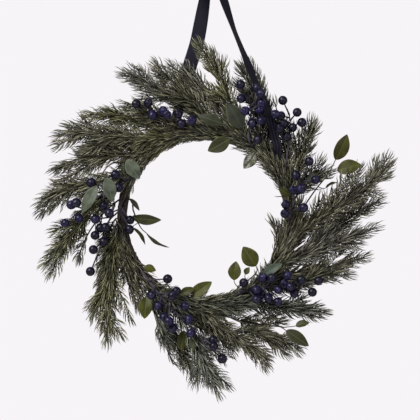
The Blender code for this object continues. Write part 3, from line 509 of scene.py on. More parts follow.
def make_ribbon():
    rows = ribbon_rows()
    line = curve_through([[*place, *across, width] for place, across, width in rows], ROWS_PER_SPAN)
    places, widths = line[:, :3], line[:, 6]
    run = np.concatenate([[0.0], np.cumsum(np.linalg.norm(np.diff(places, axis=0), axis=1))])
    lanes = np.linspace(-1.0, 1.0, RIBBON_LANES + 1)
    upper, lower, sheet = [], [], []
    for i, place in enumerate(places):
        ahead = unit(places[min(i + 1, len(places) - 1)] - places[max(i - 1, 0)])
        across = unit(line[i, 3:6] - (line[i, 3:6] @ ahead) * ahead)
        out = np.cross(ahead, across)
        slack = max(0.0, RIBBON_WIDTH / widths[i] - 1)
        fold = math.sqrt(slack) * widths[i] / (math.pi * GATHERS) * GATHER_DEPTH
        wave = fold * np.sin(math.pi * GATHERS * lanes + 0.02 * run[i]) + 0.25 * lanes**2
        for lane, lift in zip(lanes, wave):
            middle = place + lane * widths[i] / 2 * across
            upper.append(middle + (lift + RIBBON_THICKNESS / 2) * out)
            lower.append(middle + (lift - RIBBON_THICKNESS / 2) * out)
            sheet.append((lane / 2 + 0.5, run[i]))
    lanes_count, low = RIBBON_LANES + 1, len(upper)
    faces = []
    for i in range(len(places) - 1):
        for j in range(RIBBON_LANES):
            a, b = i * lanes_count + j, (i + 1) * lanes_count + j
            faces += [(a, b, b + 1, a + 1), (low + a, low + a + 1, low + b + 1, low + b)]
        left, right = i * lanes_count, i * lanes_count + RIBBON_LANES
        faces.append((left, low + left, low + left + lanes_count, left + lanes_count))
        faces.append((low + right, right, right + lanes_count, low + right + lanes_count))
    last = (len(places) - 1) * lanes_count
    for j in range(RIBBON_LANES):
        faces.append((low + j, j, j + 1, low + j + 1))
        faces.append((last + j, low + last + j, low + last + j + 1, last + j + 1))
    ribbon = mesh_object("satin_ribbon", placed(upper + lower), faces, sheet + sheet)
    ribbon.data.materials.append(satin_material())
    finish_piece(ribbon, "ribbon", "ribbon")


make_ribbon()


# Berry sprigs
# Picks of round foam berries with a matt, powdery navy skin and a small dark crown, each on a thin
# wire stalk wound with dark tape. The rows repeat the solids' own: root turn and side, points of the
# stem, and each berry's x and z, with its usual depth where that isn't the common one.

BERRY_SPRIGS = {
    "top_left": (84, 95, [(-8, -25, 140), (-45, -27, 150), (-78, -28, 163), (-96, -28, 172)], [
        (-106.2, 174.4), (-87.6, 176.7), (-81.4, 158.1), (-65.9, 163.5),
        (-58.9, 157.3), (-41.1, 159.7), (-36.4, 144.9), (-20.2, 150.4),
    ]),
    "top_right": (56, 90, [(66, -22, 128), (70, -26, 160), (68, -28, 190)], [
        (53.5, 204.6), (54.3, 182.9), (61.2, 163.5), (78.3, 198.4), (83.9, 189.1),
        (86.0, 175.8), (83.9, 165.9), (72.1, 144.2), (86.0, 148.8), (79.8, 119.4),
    ]),
    "right_high": (26, 85, [(124, -24, 84), (128, -27, 120), (130, -26, 150), (126, -24, 168)], [
        (107.0, 158.1, -50), (115.5, 156.6, -35), (118.6, 179.8), (140.3, 161.8), (148.0, 146.2),
        (134.1, 139.5), (120.1, 144.2), (112.4, 136.4), (124.8, 124.0, -47),
    ]),
    "right": (-7, 95, [(130, -24, 4), (139, -27, 32), (150, -27, 62), (155, -26, 76)], [
        (158.9, 86.8), (138.7, 65.1), (168.2, 58.9), (135.6, 43.4),
        (146.5, 45.0), (123.2, 20.9), (121.7, 6.2), (149.6, 15.5),
    ]),
    "lower_right": (-69, 100, [(62, -24, -112), (92, -28, -106), (130, -28, -106), (160, -28, -103)], [
        (58.1, -99.2), (87.6, -91.5), (100.9, -91.5), (124.8, -88.4), (146.5, -94.6),
        (78.3, -109.3), (78.3, -124.0), (96.9, -122.5), (110.8, -128.7), (135.6, -114.7),
        (172.8, -96.1), (163.5, -113.2), (112.4, -110.0), (129.4, -103.9), (120.1, -100.8),
        (86.0, -117.0),
    ]),
    "lower_left": (219, 95, [(-88, -24, -96), (-62, -27, -128), (-32, -28, -158), (4, -27, -192)], [
        (-58.1, -93.0), (-44.2, -111.6), (-50.4, -117.8), (-81.4, -117.8), (-72.1, -133.3),
        (-31.8, -134.9), (-64.3, -151.9), (-55.8, -156.6), (-25.6, -156.6), (-50.4, -168.3),
        (-20.9, -176.1), (11.6, -186.0), (12.6, -195.3), (25.6, -215.5),
    ]),
    "left_high": (150, 90, [(-124, -24, 58), (-150, -27, 44), (-180, -27, 20), (-204, -25, 2)], [
        (-174.4, 54.3), (-205.4, 20.2), (-196.1, 23.3), (-132.5, 46.5), (-137.2, 66.7),
        (-214.7, -7.8), (-193.8, -0.8), (-155.8, 18.6),
    ]),
    "left_low": (170, 85, [(-134, -20, 10), (-150, -19, -6), (-160, -19, -34), (-168, -20, -68)], [
        (-116.1, -3.1, -18), (-117.5, -17.5, -20), (-160.5, -15.5, -34), (-152.5, -14.0, -48),
        (-168.2, -1.6), (-169.7, -26.4), (-155.8, -35.7), (-171.3, -48.1), (-175.9, -81.4),
        (-146.5, 7.8),
    ]),
}
BERRY_RADIUS = 7.2
BERRY_DEPTH = -39.0
BERRY_SHIFTS = (0.0, -4.0, 4.0, -8.0, 8.0, -12.0, 12.0, -16.0, 16.0, -20.0, 20.0)
BERRY_CORNERS = 15
BERRY_NEARNESS = 0.05
BERRY_LEAN = 0.55
BERRY_SIDES = 18
BERRY_RINGS = 9
BERRY_SIZES = (0.96, 1.03)
CROWN_RADIUS = 1.7
CROWN_DEPTH = 0.7
BARE_BRANCHES = ("top_right", "lower_right", "lower_left")
BRANCH_RADIUS = 2.7
TWIG_GIRTH = 1.6
TWIG_END_GIRTH = 0.95
# Painted shade: the berries that are made nearly black, by their number in each row, and the share of their
# colour that they keep
SHADED_BERRIES = {
    "top_left": (0, 1),
    "right_high": (2, 3, 4, 5, 7),
    "lower_right": (0, 10, 11),
    "lower_left": (0, 1, 11, 12, 13),
    "left_low": (0, 1, 2, 3, 5, 6, 7, 8),
}
PAINTED_SHADE_GAIN = 0.05
BRANCH_VIEW = 1.8
STALK_VIEW = 1.9
BERRY_VIEW = 0.7
ROOT_GAP = 0.3
STEM_RADIUS = 1.5
STEM_TIP_RADIUS = 0.9
STALK_RADIUS = 0.7
STALK_SPREADS = (0.6, 1.2, 2.0, 0.3, 4.0)
STALK_POINTS = 10
STALK_SPACING = 4.6
STALK_MARGIN = 6.0
STALK_TOP = 5.0

clear_views = []


def keep_in_view(line, half_width, step=5.0):
    """Needles may not pass in front of a line: it gets rungs across, which make a ladder with it."""
    path = Path(line)
    clear_views.append(path.points)
    for mark in np.arange(0.5, path.length, step):
        across = unit(np.cross(path.heading(mark), FRONT))
        clear_views.append(path.at(mark) + np.outer((-half_width, half_width), across))


class Path:
    """A line through many close points, read by the distance along it."""

    def __init__(self, points):
        self.points = np.array(points)
        steps = np.linalg.norm(np.diff(self.points, axis=0), axis=1)
        self.run = np.concatenate([[0.0], np.cumsum(steps)])
        self.length = self.run[-1]

    def at(self, distance):
        return np.array([np.interp(distance, self.run, self.points[:, i]) for i in range(3)])

    def heading(self, distance):
        distance = min(max(distance, 0.5), self.length - 0.5)
        return unit(self.at(distance + 0.5) - self.at(distance - 0.5))


def bezier(start, lead, trail, end, count=40):
    t = np.linspace(0.0, 1.0, count)[:, None]
    return Path(
        start * (1 - t) ** 3 + 3 * lead * t * (1 - t) ** 2 + 3 * trail * t**2 * (1 - t) + end * t**3
    )


def corners_of(mesh):
    """Millimetres from the middle of the ring."""
    return np.array([v.co for v in mesh.vertices]) / MM - RING_CENTRE


def faces_tree(mesh):
    """A tree of a mesh's faces, asked for the distance to its surface."""
    return BVHTree.FromPolygons([v.co for v in mesh.vertices], [p.vertices for p in mesh.polygons])


def skin_of(node):
    return faces_tree(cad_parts[node].data)


def gap_to(skin, point):
    """Distance in millimetres from a point, also in millimetres, to a skin."""
    return skin.find_nearest(placed(point))[3] / MM


def mean_gap(skin, path, first=4.0):
    marks = np.linspace(first, path.length, max(4, int(path.length / 4)))
    return float(np.mean([gap_to(skin, path.at(mark)) for mark in marks]))


RING_SKIN = skin_of("twig_ring")


def seat(turn, side, radius):
    """Where the middle of a stem's root lies so that the stem just clears the ring."""
    away = round_bundle(turn, side)
    for reach in np.arange(12.0, 2.0, -0.05):
        place = ring_line(turn) + reach * away
        if gap_to(RING_SKIN, place) < radius + ROOT_GAP:
            return place
    raise ValueError("a root found no seat")


def turn_about(vector, axis, degrees):
    angle = math.radians(degrees)
    return math.cos(angle) * vector + math.sin(angle) * np.cross(axis, vector)


def tapered(path, radius, tip_radius, step=6.0):
    marks = np.linspace(0.0, path.length, max(4, int(path.length / step)))
    radii = radius + (tip_radius - radius) * marks / path.length
    return [path.at(mark) for mark in marks], radii


def sprig_stem(turn, side, through):
    """Curve from the ring through given points."""
    root = seat(turn, side, STEM_RADIUS)
    away = round_bundle(turn, side)
    lead = root + 5 * away + 5 * unit(np.array(through[0], float) - root)
    return Path(curve_through([root, lead] + list(through)))


def stalk_line(foot, out, end, into, spread):
    """A stalk leaves its stem along a side direction and comes in to its leaf or berry from behind."""
    reach = 0.4 * np.linalg.norm(end - foot)
    lead = foot + reach * unit(out + spread * unit(end - foot))
    return bezier(foot, lead, end - reach * into, end, STALK_POINTS)


def stalk_feet(stem, ends, lean):
    """How far along the stem each stalk leaves it: a little before the nearest point, none too close."""
    wanted = []
    for number, end in enumerate(ends):
        apart = np.linalg.norm(stem.points - end, axis=1)
        nearest = int(np.argmin(apart))
        foot = stem.run[nearest] - lean * apart[nearest]
        wanted.append((min(max(foot, STALK_MARGIN), stem.length - STALK_MARGIN), number))
    feet = {}
    last = 0.0
    for foot, number in sorted(wanted):
        last = max(foot, last + STALK_SPACING)
        feet[number] = last
    ceiling = stem.length - STALK_TOP
    for foot, number in sorted(((f, n) for n, f in feet.items()), reverse=True):
        feet[number] = min(foot, ceiling)
        ceiling = feet[number] - STALK_SPACING
    return feet


def find_stalk(skin, stem, foot, end, into):
    """Of the ways that a stalk can leave its stem, the one that lies in its solid."""
    heading = stem.heading(foot)
    flat = unit(np.cross(heading, FRONT))
    ways = []
    for turned in range(0, 360, 30):
        out = turn_about(flat, heading, turned)
        for spread in STALK_SPREADS:
            line = stalk_line(stem.at(foot) + STEM_TIP_RADIUS / 2 * out, out, end, into, spread)
            ways.append((mean_gap(skin, line, 1.0), line))
    return min(ways, key=lambda way: way[0])[1]


def settled_place(corners, x, z, depth=BERRY_DEPTH):
    """The middle of a berry at the depth where the solid has it, told by the corners round it."""
    for shift in BERRY_SHIFTS:
        place = np.array([x, depth + shift, z])
        reach = np.linalg.norm(corners - place, axis=1)
        if (abs(reach - BERRY_RADIUS) < BERRY_NEARNESS).sum() >= BERRY_CORNERS:
            return place
    raise ValueError(f"the solid has no berry at {x}, {z}")


def berry_object():
    """One berry on +Z above its stalk's end, round, with a rimmed pit for a crown at its top."""
    profile = [
        (BERRY_RADIUS * math.sin(a), BERRY_RADIUS * (1 - math.cos(a)))
        for a in np.linspace(0.18, math.pi - 0.34, BERRY_RINGS + 1)
    ]
    top = 2 * BERRY_RADIUS
    profile.append((1.15 * CROWN_RADIUS, top - 0.1))
    profile.append((CROWN_RADIUS, top + 0.15))
    profile.append((0.7 * CROWN_RADIUS, top - CROWN_DEPTH))
    corners, up = [(0.0, 0.0, 0.0)], [0.0]
    for reach, height in profile:
        for k in range(BERRY_SIDES):
            angle = 2 * math.pi * k / BERRY_SIDES
            corners.append((reach * math.cos(angle), reach * math.sin(angle), height))
            up.append(height / top)
    corners.append((0.0, 0.0, top - CROWN_DEPTH))
    up.append(2.0)
    faces = []
    for k in range(BERRY_SIDES):
        following = (k + 1) % BERRY_SIDES
        faces.append((0, 1 + following, 1 + k))
        for ring in range(len(profile) - 1):
            a = 1 + ring * BERRY_SIDES
            faces.append((a + k, a + following, a + BERRY_SIDES + following, a + BERRY_SIDES + k))
        last = 1 + (len(profile) - 1) * BERRY_SIDES
        faces.append((last + k, last + following, len(corners) - 1))
    return mesh_object("berry", np.array(corners) * MM, faces, up=up)


def berry_group():
    """Makes rods of a stem and its stalks, and sets a berry on the end of each stalk."""
    inputs = {
        "Lines": ("Geometry",),
        "Berry": ("Object",),
        "Sides": ("Int", 8),
        "Ridge Height": ("Float", 0.0004),
        "Ridge Scale": ("Float", 350.0),
        "Seed": ("Int", 0),
        "Bark": ("Material",),
        "Skin": ("Material",),
    }
    nodes, given, result = new_group("berries on stalks", "GeometryNodeTree", inputs, {"Sprig": "Geometry"})
    shared = ("Lines", "Sides", "Ridge Height", "Ridge Scale", "Seed", "Bark")
    rods = nodes.get("Group", {key: given[key] for key in shared}, node_tree=BARKED_RODS)
    end = nodes.get("CurveEndpointSelection", {"Start Size": 0, "End Size": 1})
    links = {"A_INT": nodes.get("CurveOfPoint", out="Curve Index"), "B_INT": 0}
    stalk = nodes.get("FunctionNodeCompare", links, data_type="INT", operation="GREATER_THAN")
    tangent = nodes.get("InputTangent")
    up = nodes.get("FunctionNodeAlignRotationToVector", {"Vector": tangent}, axis="Z")
    links = {
        "Points": given["Lines"],
        "Selection": nodes.logic("AND", end, stalk),
        "Instance": nodes.get("ObjectInfo", {"Object": given["Berry"]}, "Geometry"),
        "Rotation": nodes.turned(up, (0, 0, 1), nodes.chance(0.0, 2 * math.pi, given["Seed"], 1)),
        "Scale": nodes.chance(*BERRY_SIZES, given["Seed"], 2),
    }
    values = {"shade": nodes.chance(0.0, 1.0, given["Seed"], 3)}
    nodes.plant(links, values, given["Skin"], rods, result["Sprig"])
    return nodes.tree


BERRIES_ON_STALKS = berry_group()


def berry_material():
    """Navy skin under a pale powdery bloom that is rubbed off in patches, with a dark crown."""
    constants = {"Specular_IOR_Level": 0.25, "Coat_Weight": 0.08, "Coat_Roughness": 0.25}
    material, nodes, shader = new_material("berry_skin", **constants)
    navy, bluer = (0.0050, 0.0038, 0.021), (0.010, 0.007, 0.040)
    skin = patchy(nodes, navy, bluer, patch_scale=120.0, fleck_scale=1500.0, fleck=0.3)
    place = nodes.get("TexCoord", out="Object")
    cloud = nodes.get("TexNoise", {"Vector": place, "Scale": 210.0, "Detail": 4.0})
    bloom = nodes.remap(cloud, 0.5, 0.72, to_high=0.7, smooth=True)
    tone = nodes.mix(bloom, skin["Colour"], opaque((0.064, 0.056, 0.145)))
    crown = nodes.remap(nodes.attribute("up"), 1.02, 1.3)
    tone = nodes.mix(crown, tone, opaque((0.006, 0.005, 0.010)))
    tone = nodes.scaled(tone, nodes.sum("MULTIPLY_ADD", nodes.attribute("shade"), 0.9, 0.3))
    nodes.link(tone, shader.inputs["Base Color"])
    nodes.link(nodes.sum("MULTIPLY_ADD", bloom, 0.35, 0.38), shader.inputs["Roughness"])
    return material


def paint_berry_shade(sprig, middles):
    """Painted shade: the listed berries are made nearly black."""
    mesh = sprig.data
    corners = corners_of(mesh)
    shades = np.array([item.value for item in mesh.attributes["shade"].data])
    for middle in middles:
        near = np.linalg.norm(corners - middle, axis=1) < 1.15 * BERRY_RADIUS
        shades[near] *= PAINTED_SHADE_GAIN
    mesh.attributes["shade"].data.foreach_set("value", shades)


def make_berry_sprigs():
    tape = bark_material("berry_stem", (0.064, 0.053, 0.080), (0.011, 0.008, 0.013), 0.7)
    skin = berry_material()
    berry = berry_object()
    for number, (name, (turn, side, through, spots)) in enumerate(BERRY_SPRIGS.items()):
        node = "berry_sprig_" + name
        solid = skin_of(node)
        corners = corners_of(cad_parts[node].data)
        stem = sprig_stem(turn, side, through)
        settled = [settled_place(corners, *spot) for spot in spots]
        feet = stalk_feet(stem, settled, BERRY_LEAN)
        bare = name in BARE_BRANCHES
        lines = [tapered(stem, BRANCH_RADIUS if bare else STEM_RADIUS, STALK_RADIUS)]
        for k, middle in enumerate(settled):
            into = unit(middle - stem.at(feet[k]))
            stalk = find_stalk(solid, stem, feet[k], middle - BERRY_RADIUS * into, into)
            lines.append(tapered(stalk, TWIG_GIRTH, TWIG_END_GIRTH, 3.0))
        settings = {"Berry": berry, "Seed": 5 * number, "Bark": tape, "Skin": skin}
        if bare:
            keep_in_view(stem.points[stem.run > 0.8 * min(feet.values())][::4], BRANCH_VIEW * BRANCH_RADIUS)
        for points, _ in lines[1:]:
            keep_in_view(points, STALK_VIEW * TWIG_GIRTH)
        for middle in settled:
            spot = np.outer((-BERRY_VIEW * BERRY_RADIUS, BERRY_VIEW * BERRY_RADIUS), (1.0, 0.0, 0.0))
            keep_in_view(middle + spot, BERRY_VIEW * BERRY_RADIUS)
        sprig = grow(lines_object("berries_" + name, lines), BERRIES_ON_STALKS, settings)
        # Painted shade: the listed berries are made nearly black
        paint_berry_shade(sprig, [settled[k] for k in SHADED_BERRIES.get(name, ())])
        finish_piece(sprig, "berries", node)
    bpy.data.objects.remove(berry)


make_berry_sprigs()


# Leaf sprigs
# Small picks of pointed oval leaves, cut from stiff painted cloth, on thin stalks off a taped wire
# stem that is pushed into the ring. The rows are near the solids' own, with two small leaves more:
# tint, root turn and side, points of the stem, and each leaf's base, tip, width, roll and any tint
# of its own. The last leaf ends the stem.

LEAF_SPRIGS = {
    "top": ("dusk", 60, 100, [(56, -21, 122), (44, -29, 134)], [
        ((57, -24, 138), (34, -25, 178), 26, 5),
        ((37, -27, 122), (3.5, -24, 103), 23, 8, "dull"),
        ((25.6, -36, 144), (-12, -34, 157), 18, -15, "shady"),
    ]),
    "top_inner": ("net", 51, 75, [], [
        ((76.7, -22, 100.8), (58.9, -18, 76), 18.6, 10),
    ]),
    "right_outer": ("olive", -2, 20, [(150, -14, 14), (170, -14, 44), (188, -14, 66)], [
        ((203, -16, 72.9), (240, -18, 82.2), 24, 20),
        ((185, -18, 46), (203, -20, 55), 12, 70),
        ((200.7, -12, 89.9), (218.7, -14, 129.3), 23, -15),
    ]),
    "right_inner": ("olive", 8, 120, [(130, -14, 30), (142, -15, 40)], [
        ((131, -32, 36), (112, -34, 46), 14, 25),
        ((157, -14, 52), (176, -13, 74), 16, 30, "shady"),
    ]),
    "lower_right_inner": ("olive", -66, 150, [(56, -10, -104), (68, -12, -94), (78, -10, -86)], [
        ((44.2, -8, -96.1), (47.3, -6, -66.7), 20, 10),
        ((61.2, -10, -87), (68, -10, -76), 9.3, 20),
        ((78.3, -6, -74.4), (58.1, -6, -44.2), 26, 5),
    ]),
    "lower_right_outer": ("dull", -68, 30, [(76, -12, -142), (100, -17, -158)], [
        ((138.7, -22, -166), (160, -22, -161), 12.4, 35),
        ((124, -20, -173), (159, -24, -197), 19, 10),
    ]),
    "right_low": ("teal", -52, 100, [(82, -20, -100)], [
        ((88, -29, -88), (118, -34, -70), 15, 20),
    ]),
    "bottom": ("sage", 249, 30, [(-46, -13, -144), (-37, -18, -156)], [
        ((-15, -27, -177), (-20, -31, -206), 14, -20, "shady"),
        ((-33, -20, -173), (-38, -24, -203), 18.6, 15, "olive"),
    ]),
    "bottom_inner": ("olive", 238, 150, [(-54, -12, -109), (-40, -15, -118)], [
        ((-40, -17, -118), (-16, -16, -108), 13, 15),
        ((-23, -14, -122), (10, -12, -98.4), 20, 10),
    ]),
    "lower_left": ("olive", 205, 130, [(-107, -13, -66), (-102, -17, -88)], [
        ((-95, -20, -76), (-76, -18, -81), 13, 30),
        ((-90.7, -20, -121), (-93.8, -24, -155), 21.7, 0),
    ]),
    "left_inner": ("dull", 166, 175, [(-113, -4, 16), (-108, -5, 2), (-102, -4, -12)], [
        ((-117, -9, 30), (-102, -8, 11), 8, 30, "shady"),
        ((-113, -9, 1), (-68, -8, -3), 17, -20),
        ((-112, -11, -15), (-93, -10, -42), 13, 66),
        ((-91.5, -4, -23.3), (-55.8, -6, -45.7), 13, -66),
    ]),
    "left_high": ("sage", 150, 60, [(-122, -18, 79), (-136, -32, 86), (-152, -46, 76)], [
        ((-121, -27, 89), (-101, -25, 60), 21, 0),
        ((-127, -29, 84), (-126, -27, 67), 8, 20, "shady"),
        ((-150, -56, 62), (-142, -54, 24), 20, 10),
        ((-165, -53, 49), (-188, -51, 7.5), 19, -10),
    ]),
}
LEAD_IN = 4.0
LEAF_LEAN = 0.4
LEAF_VIEW = 0.35

BLADE_STEPS = 26
BLADE_LANES = 12
BLADE_THICKNESS = 0.45
BLADE_BOW = 0.07
BLADE_FOLD = 0.22
BLADE_WAVE = 0.035
RIB_HEIGHT = 0.5
RIB_WIDTH = 0.7
VEIN_SHEET = 60.0
VEIN_PITCH = 4.2
VEIN_SLANT = 0.9

# Each tint is that of the blade, its patches, its veins, its rim and its underside.
LEAF_TINTS = {
    "olive": (
        (0.053, 0.057, 0.0040), (0.026, 0.029, 0.0030), (0.085, 0.088, 0.022),
        (0.050, 0.052, 0.010), (0.060, 0.066, 0.022),
    ),
    "dull": (
        (0.038, 0.041, 0.010), (0.022, 0.023, 0.008), (0.085, 0.088, 0.035),
        (0.065, 0.072, 0.028), (0.060, 0.066, 0.030),
    ),
    "sage": (
        (0.105, 0.125, 0.084), (0.040, 0.051, 0.032), (0.12, 0.14, 0.10),
        (0.14, 0.16, 0.12), (0.13, 0.15, 0.11),
    ),
    "dusk": (
        (0.020, 0.024, 0.016), (0.034, 0.038, 0.022), (0.060, 0.066, 0.044),
        (0.085, 0.088, 0.060), (0.070, 0.075, 0.055),
    ),
    "shady": (
        (0.032, 0.038, 0.017), (0.020, 0.024, 0.011), (0.075, 0.082, 0.045),
        (0.050, 0.055, 0.030), (0.060, 0.066, 0.040),
    ),
    "teal": (
        (0.045, 0.062, 0.044), (0.026, 0.036, 0.026), (0.085, 0.10, 0.075),
        (0.065, 0.075, 0.055), (0.075, 0.085, 0.065),
    ),
    "net": (
        (0.52, 0.52, 0.48), (0.13, 0.13, 0.075), (0.020, 0.023, 0.008),
        (0.020, 0.023, 0.007), (0.25, 0.25, 0.18),
    ),
}
GREY_LEAVES = ("sage", "dusk", "teal")
HIDDEN_LEAVES = ("shady", "dusk")


def leaf_blade(base, tip, width, roll, draw):
    """Corners of one blade's upper and lower skin, with their place on the vein sheet and extras."""
    length = np.linalg.norm(tip - base)
    along = unit(tip - base)
    across = unit(np.cross(along, FRONT))
    face = np.cross(across, along)
    angle = math.radians(roll)
    across, face = (
        math.cos(angle) * across + math.sin(angle) * face,
        math.cos(angle) * face - math.sin(angle) * across,
    )
    u = np.linspace(0.0, 1.0, BLADE_STEPS + 1)[:, None]
    lanes = np.linspace(-1.0, 1.0, BLADE_LANES + 1)[None, :]
    v = np.sign(lanes) * abs(lanes) ** 1.25
    half = width / 2 * np.maximum(np.sin(math.pi * u**0.85), 0.0) ** 0.8 + 0.35 * (1 - u)
    ripple = np.sin(2 * math.pi * (draw.uniform(1.2, 2.0) * u + draw.uniform()) + 1.4 * np.sign(v))
    rise = BLADE_BOW * length * np.sin(math.pi * u) + BLADE_FOLD * half * abs(v) ** 1.2
    rise = rise + BLADE_WAVE * width * ripple * v**2 * np.sin(math.pi * u)
    rib = np.exp(-((v * half / RIB_WIDTH) ** 2)) * (1 - 0.75 * u)
    middle = base + (u * length)[..., None] * along + (v * half)[..., None] * across
    thick = BLADE_THICKNESS * (1 - 0.7 * abs(v)) * (1 - 0.5 * u)
    upper = middle + (rise + thick / 2 - 0.25 * RIB_HEIGHT * rib)[..., None] * face
    lower = middle + (rise - thick / 2 - RIB_HEIGHT * rib)[..., None] * face
    sheet = np.stack(np.broadcast_arrays(u * length / VEIN_SHEET, 0.5 + v * half / VEIN_SHEET), axis=-1)
    return upper, lower, sheet, np.broadcast_to(abs(v), rise.shape)


def blade_faces():
    """Quads of the upper skin, the lower skin and the rim that joins them, for one blade."""
    lanes = BLADE_LANES + 1
    low = lanes * (BLADE_STEPS + 1)
    faces = []
    for i in range(BLADE_STEPS):
        for j in range(BLADE_LANES):
            a, b = i * lanes + j, (i + 1) * lanes + j
            faces += [(a, a + 1, b + 1, b), (low + b, low + b + 1, low + a + 1, low + a)]
        left, right = i * lanes, i * lanes + BLADE_LANES
        faces.append((low + left, left, left + lanes, low + left + lanes))
        faces.append((right, low + right, low + right + lanes, right + lanes))
    last = BLADE_STEPS * lanes
    for j in range(BLADE_LANES):
        faces.append((j, low + j, low + j + 1, j + 1))
        faces.append((low + last + j, last + j, last + j + 1, low + last + j + 1))
    return faces


def blade_object(name, blade, material, draw):
    """One leaf with a shade of its own."""
    upper, lower, sheet, across = leaf_blade(*blade, draw)
    corners = np.concatenate([upper.reshape(-1, 3), lower.reshape(-1, 3)])
    sheets = np.concatenate([sheet.reshape(-1, 2)] * 2)
    values = {
        "across": np.concatenate([across.ravel()] * 2),
        "under": np.repeat([0.0, 1.0], across.size),
        "shade": np.full(2 * across.size, draw.uniform()),
    }
    thing = mesh_object(name, placed(corners), blade_faces(), sheets, **values)
    thing.data.materials.append(material)
    return thing


def joined(name, things):
    """Several objects made into one, with all their materials."""
    with bpy.context.temp_override(active_object=things[0], selected_editable_objects=things):
        bpy.ops.object.join()
    things[0].name = name
    things[0].data.name = name
    return things[0]


def vein_group():
    """A midrib with slanted side veins, drawn on a sheet that lies along each leaf."""
    inputs = {"Pitch": ("Float", 0.07), "Slant": ("Float", 0.9), "Width": ("Float", 0.006)}
    outputs = {"Rib": "Float", "Side Veins": "Float"}
    nodes, given, result = new_group("leaf veins", "ShaderNodeTree", inputs, outputs)
    sheet = nodes.get("UVMap", uv_map="sheet")
    parts = nodes.put("SeparateXYZ", {"Vector": sheet}).outputs
    wobble = nodes.get("TexNoise", {"Vector": sheet, "Scale": 14.0, "Detail": 1.0})
    off = nodes.sum("ABSOLUTE", nodes.sum("SUBTRACT", parts["Y"], 0.5))
    run = nodes.sum("SUBTRACT", parts["X"], nodes.sum("MULTIPLY", off, given["Slant"]))
    run = nodes.sum("ADD", run, nodes.sum("MULTIPLY", wobble, 0.02))
    near = nodes.sum("PINGPONG", run, nodes.sum("MULTIPLY", given["Pitch"], 0.5))
    thin = nodes.sum("MULTIPLY", given["Width"], 0.7)
    side = nodes.remap(near, thin, nodes.sum("MULTIPLY", thin, 0.2), smooth=True)
    rib = nodes.remap(off, given["Width"], nodes.sum("MULTIPLY", given["Width"], 0.4), smooth=True)
    nodes.link(rib, result["Rib"])
    nodes.link(side, result["Side Veins"])
    return nodes.tree


LEAF_VEINS = vein_group()


def leaf_material(tint):
    """Painted cloth: patchy, with veins, a rim of another colour and a paler underside."""
    blade, patches, vein, rim, back = LEAF_TINTS[tint]
    worn = tint == "net"
    material, nodes, shader = new_material("leaf_" + tint, Roughness=0.5, Specular_IOR_Level=0.25)
    scale = 160.0 if worn else 85.0
    base = patchy(nodes, blade, patches, patch_scale=scale, fleck_scale=700.0, fleck=0.35)
    width = 1.9 if worn else 0.8
    links = {"Pitch": VEIN_PITCH / VEIN_SHEET, "Slant": VEIN_SLANT, "Width": width / VEIN_SHEET}
    veins = nodes.put("Group", links, node_tree=LEAF_VEINS).outputs
    side_veins = nodes.sum("MULTIPLY", veins["Side Veins"], 0.7 if worn else 0.35)
    lines = nodes.sum("MAXIMUM", veins["Rib"], side_veins)
    edge = nodes.sum("POWER", nodes.attribute("across"), 2.0 if worn else 9.0)
    tone = nodes.mix(nodes.attribute("under"), base["Colour"], opaque(back))
    tone = nodes.mix(nodes.sum("MULTIPLY", edge, 0.85), tone, opaque(rim))
    tone = nodes.mix(nodes.sum("MULTIPLY", lines, 0.8), tone, opaque(vein))
    tone = nodes.scaled(tone, nodes.sum("MULTIPLY_ADD", nodes.attribute("shade"), 0.4, 0.8))
    nodes.link(tone, shader.inputs["Base Color"])
    relief = nodes.sum("SUBTRACT", nodes.sum("MULTIPLY", base["Flecks"], 0.3), lines)
    emboss(nodes, shader, relief, 0.5, 0.0003)
    return material


def make_leaf_sprigs():
    tape = bark_material("leaf_stem", (0.035, 0.030, 0.018), (0.018, 0.014, 0.010), 0.4)
    blades_of = {tint: leaf_material(tint) for tint in LEAF_TINTS}
    for number, (name, row) in enumerate(LEAF_SPRIGS.items()):
        tint, turn, side, through, leaves = row
        node = "leaf_sprig_" + name
        skin = skin_of(node)
        draw = np.random.default_rng(200 + number)
        blades, tints = [], []
        for base, tip, width, roll, *own_tint in leaves:
            blades.append((np.array(base, float), np.array(tip, float), width, roll))
            tints.append((own_tint or [tint])[0])
        last_base, last_tip = blades[-1][:2]
        arrival = last_base - LEAD_IN * unit(last_tip - last_base)
        stem = sprig_stem(turn, side, through + [arrival, last_base])
        feet = stalk_feet(stem, [blade[0] for blade in blades[:-1]], LEAF_LEAN)
        lines = [tapered(stem, STEM_RADIUS, STALK_RADIUS)]
        for k, (base, tip, _, _) in enumerate(blades[:-1]):
            stalk = find_stalk(skin, stem, feet[k], base, unit(tip - base))
            lines.append(tapered(stalk, STALK_RADIUS, 0.8 * STALK_RADIUS, 3.0))
        settings = {"Seed": 4.0, "Bark": tape}
        parts = [grow(lines_object(name + "_stems", lines), BARKED_RODS, settings)]
        for k, blade in enumerate(blades):
            if tints[k] not in HIDDEN_LEAVES:
                keep_in_view(np.linspace(*blade[:2], 6)[1:-1], LEAF_VIEW * blade[2])
            parts.append(blade_object(f"{name}_blade_{k}", blade, blades_of[tints[k]], draw))
        slot = "leaves_grey" if tint in GREY_LEAVES else "leaves_olive"
        finish_piece(joined("leaves_" + name, parts), slot, node)


make_leaf_sprigs()


# Needle sprays
# Each is an artificial fir pick: a wire stem and side twigs wound with dark tape, with long moulded
# needles all round that lean and curve towards the tip. The foot of each stem is pushed between the
# twigs of the ring. The rows repeat the solids' own: root turn and side, tip, heading, twigs, tint.
# Some side twigs are cut shorter than in the solids, and small ones are added between them.

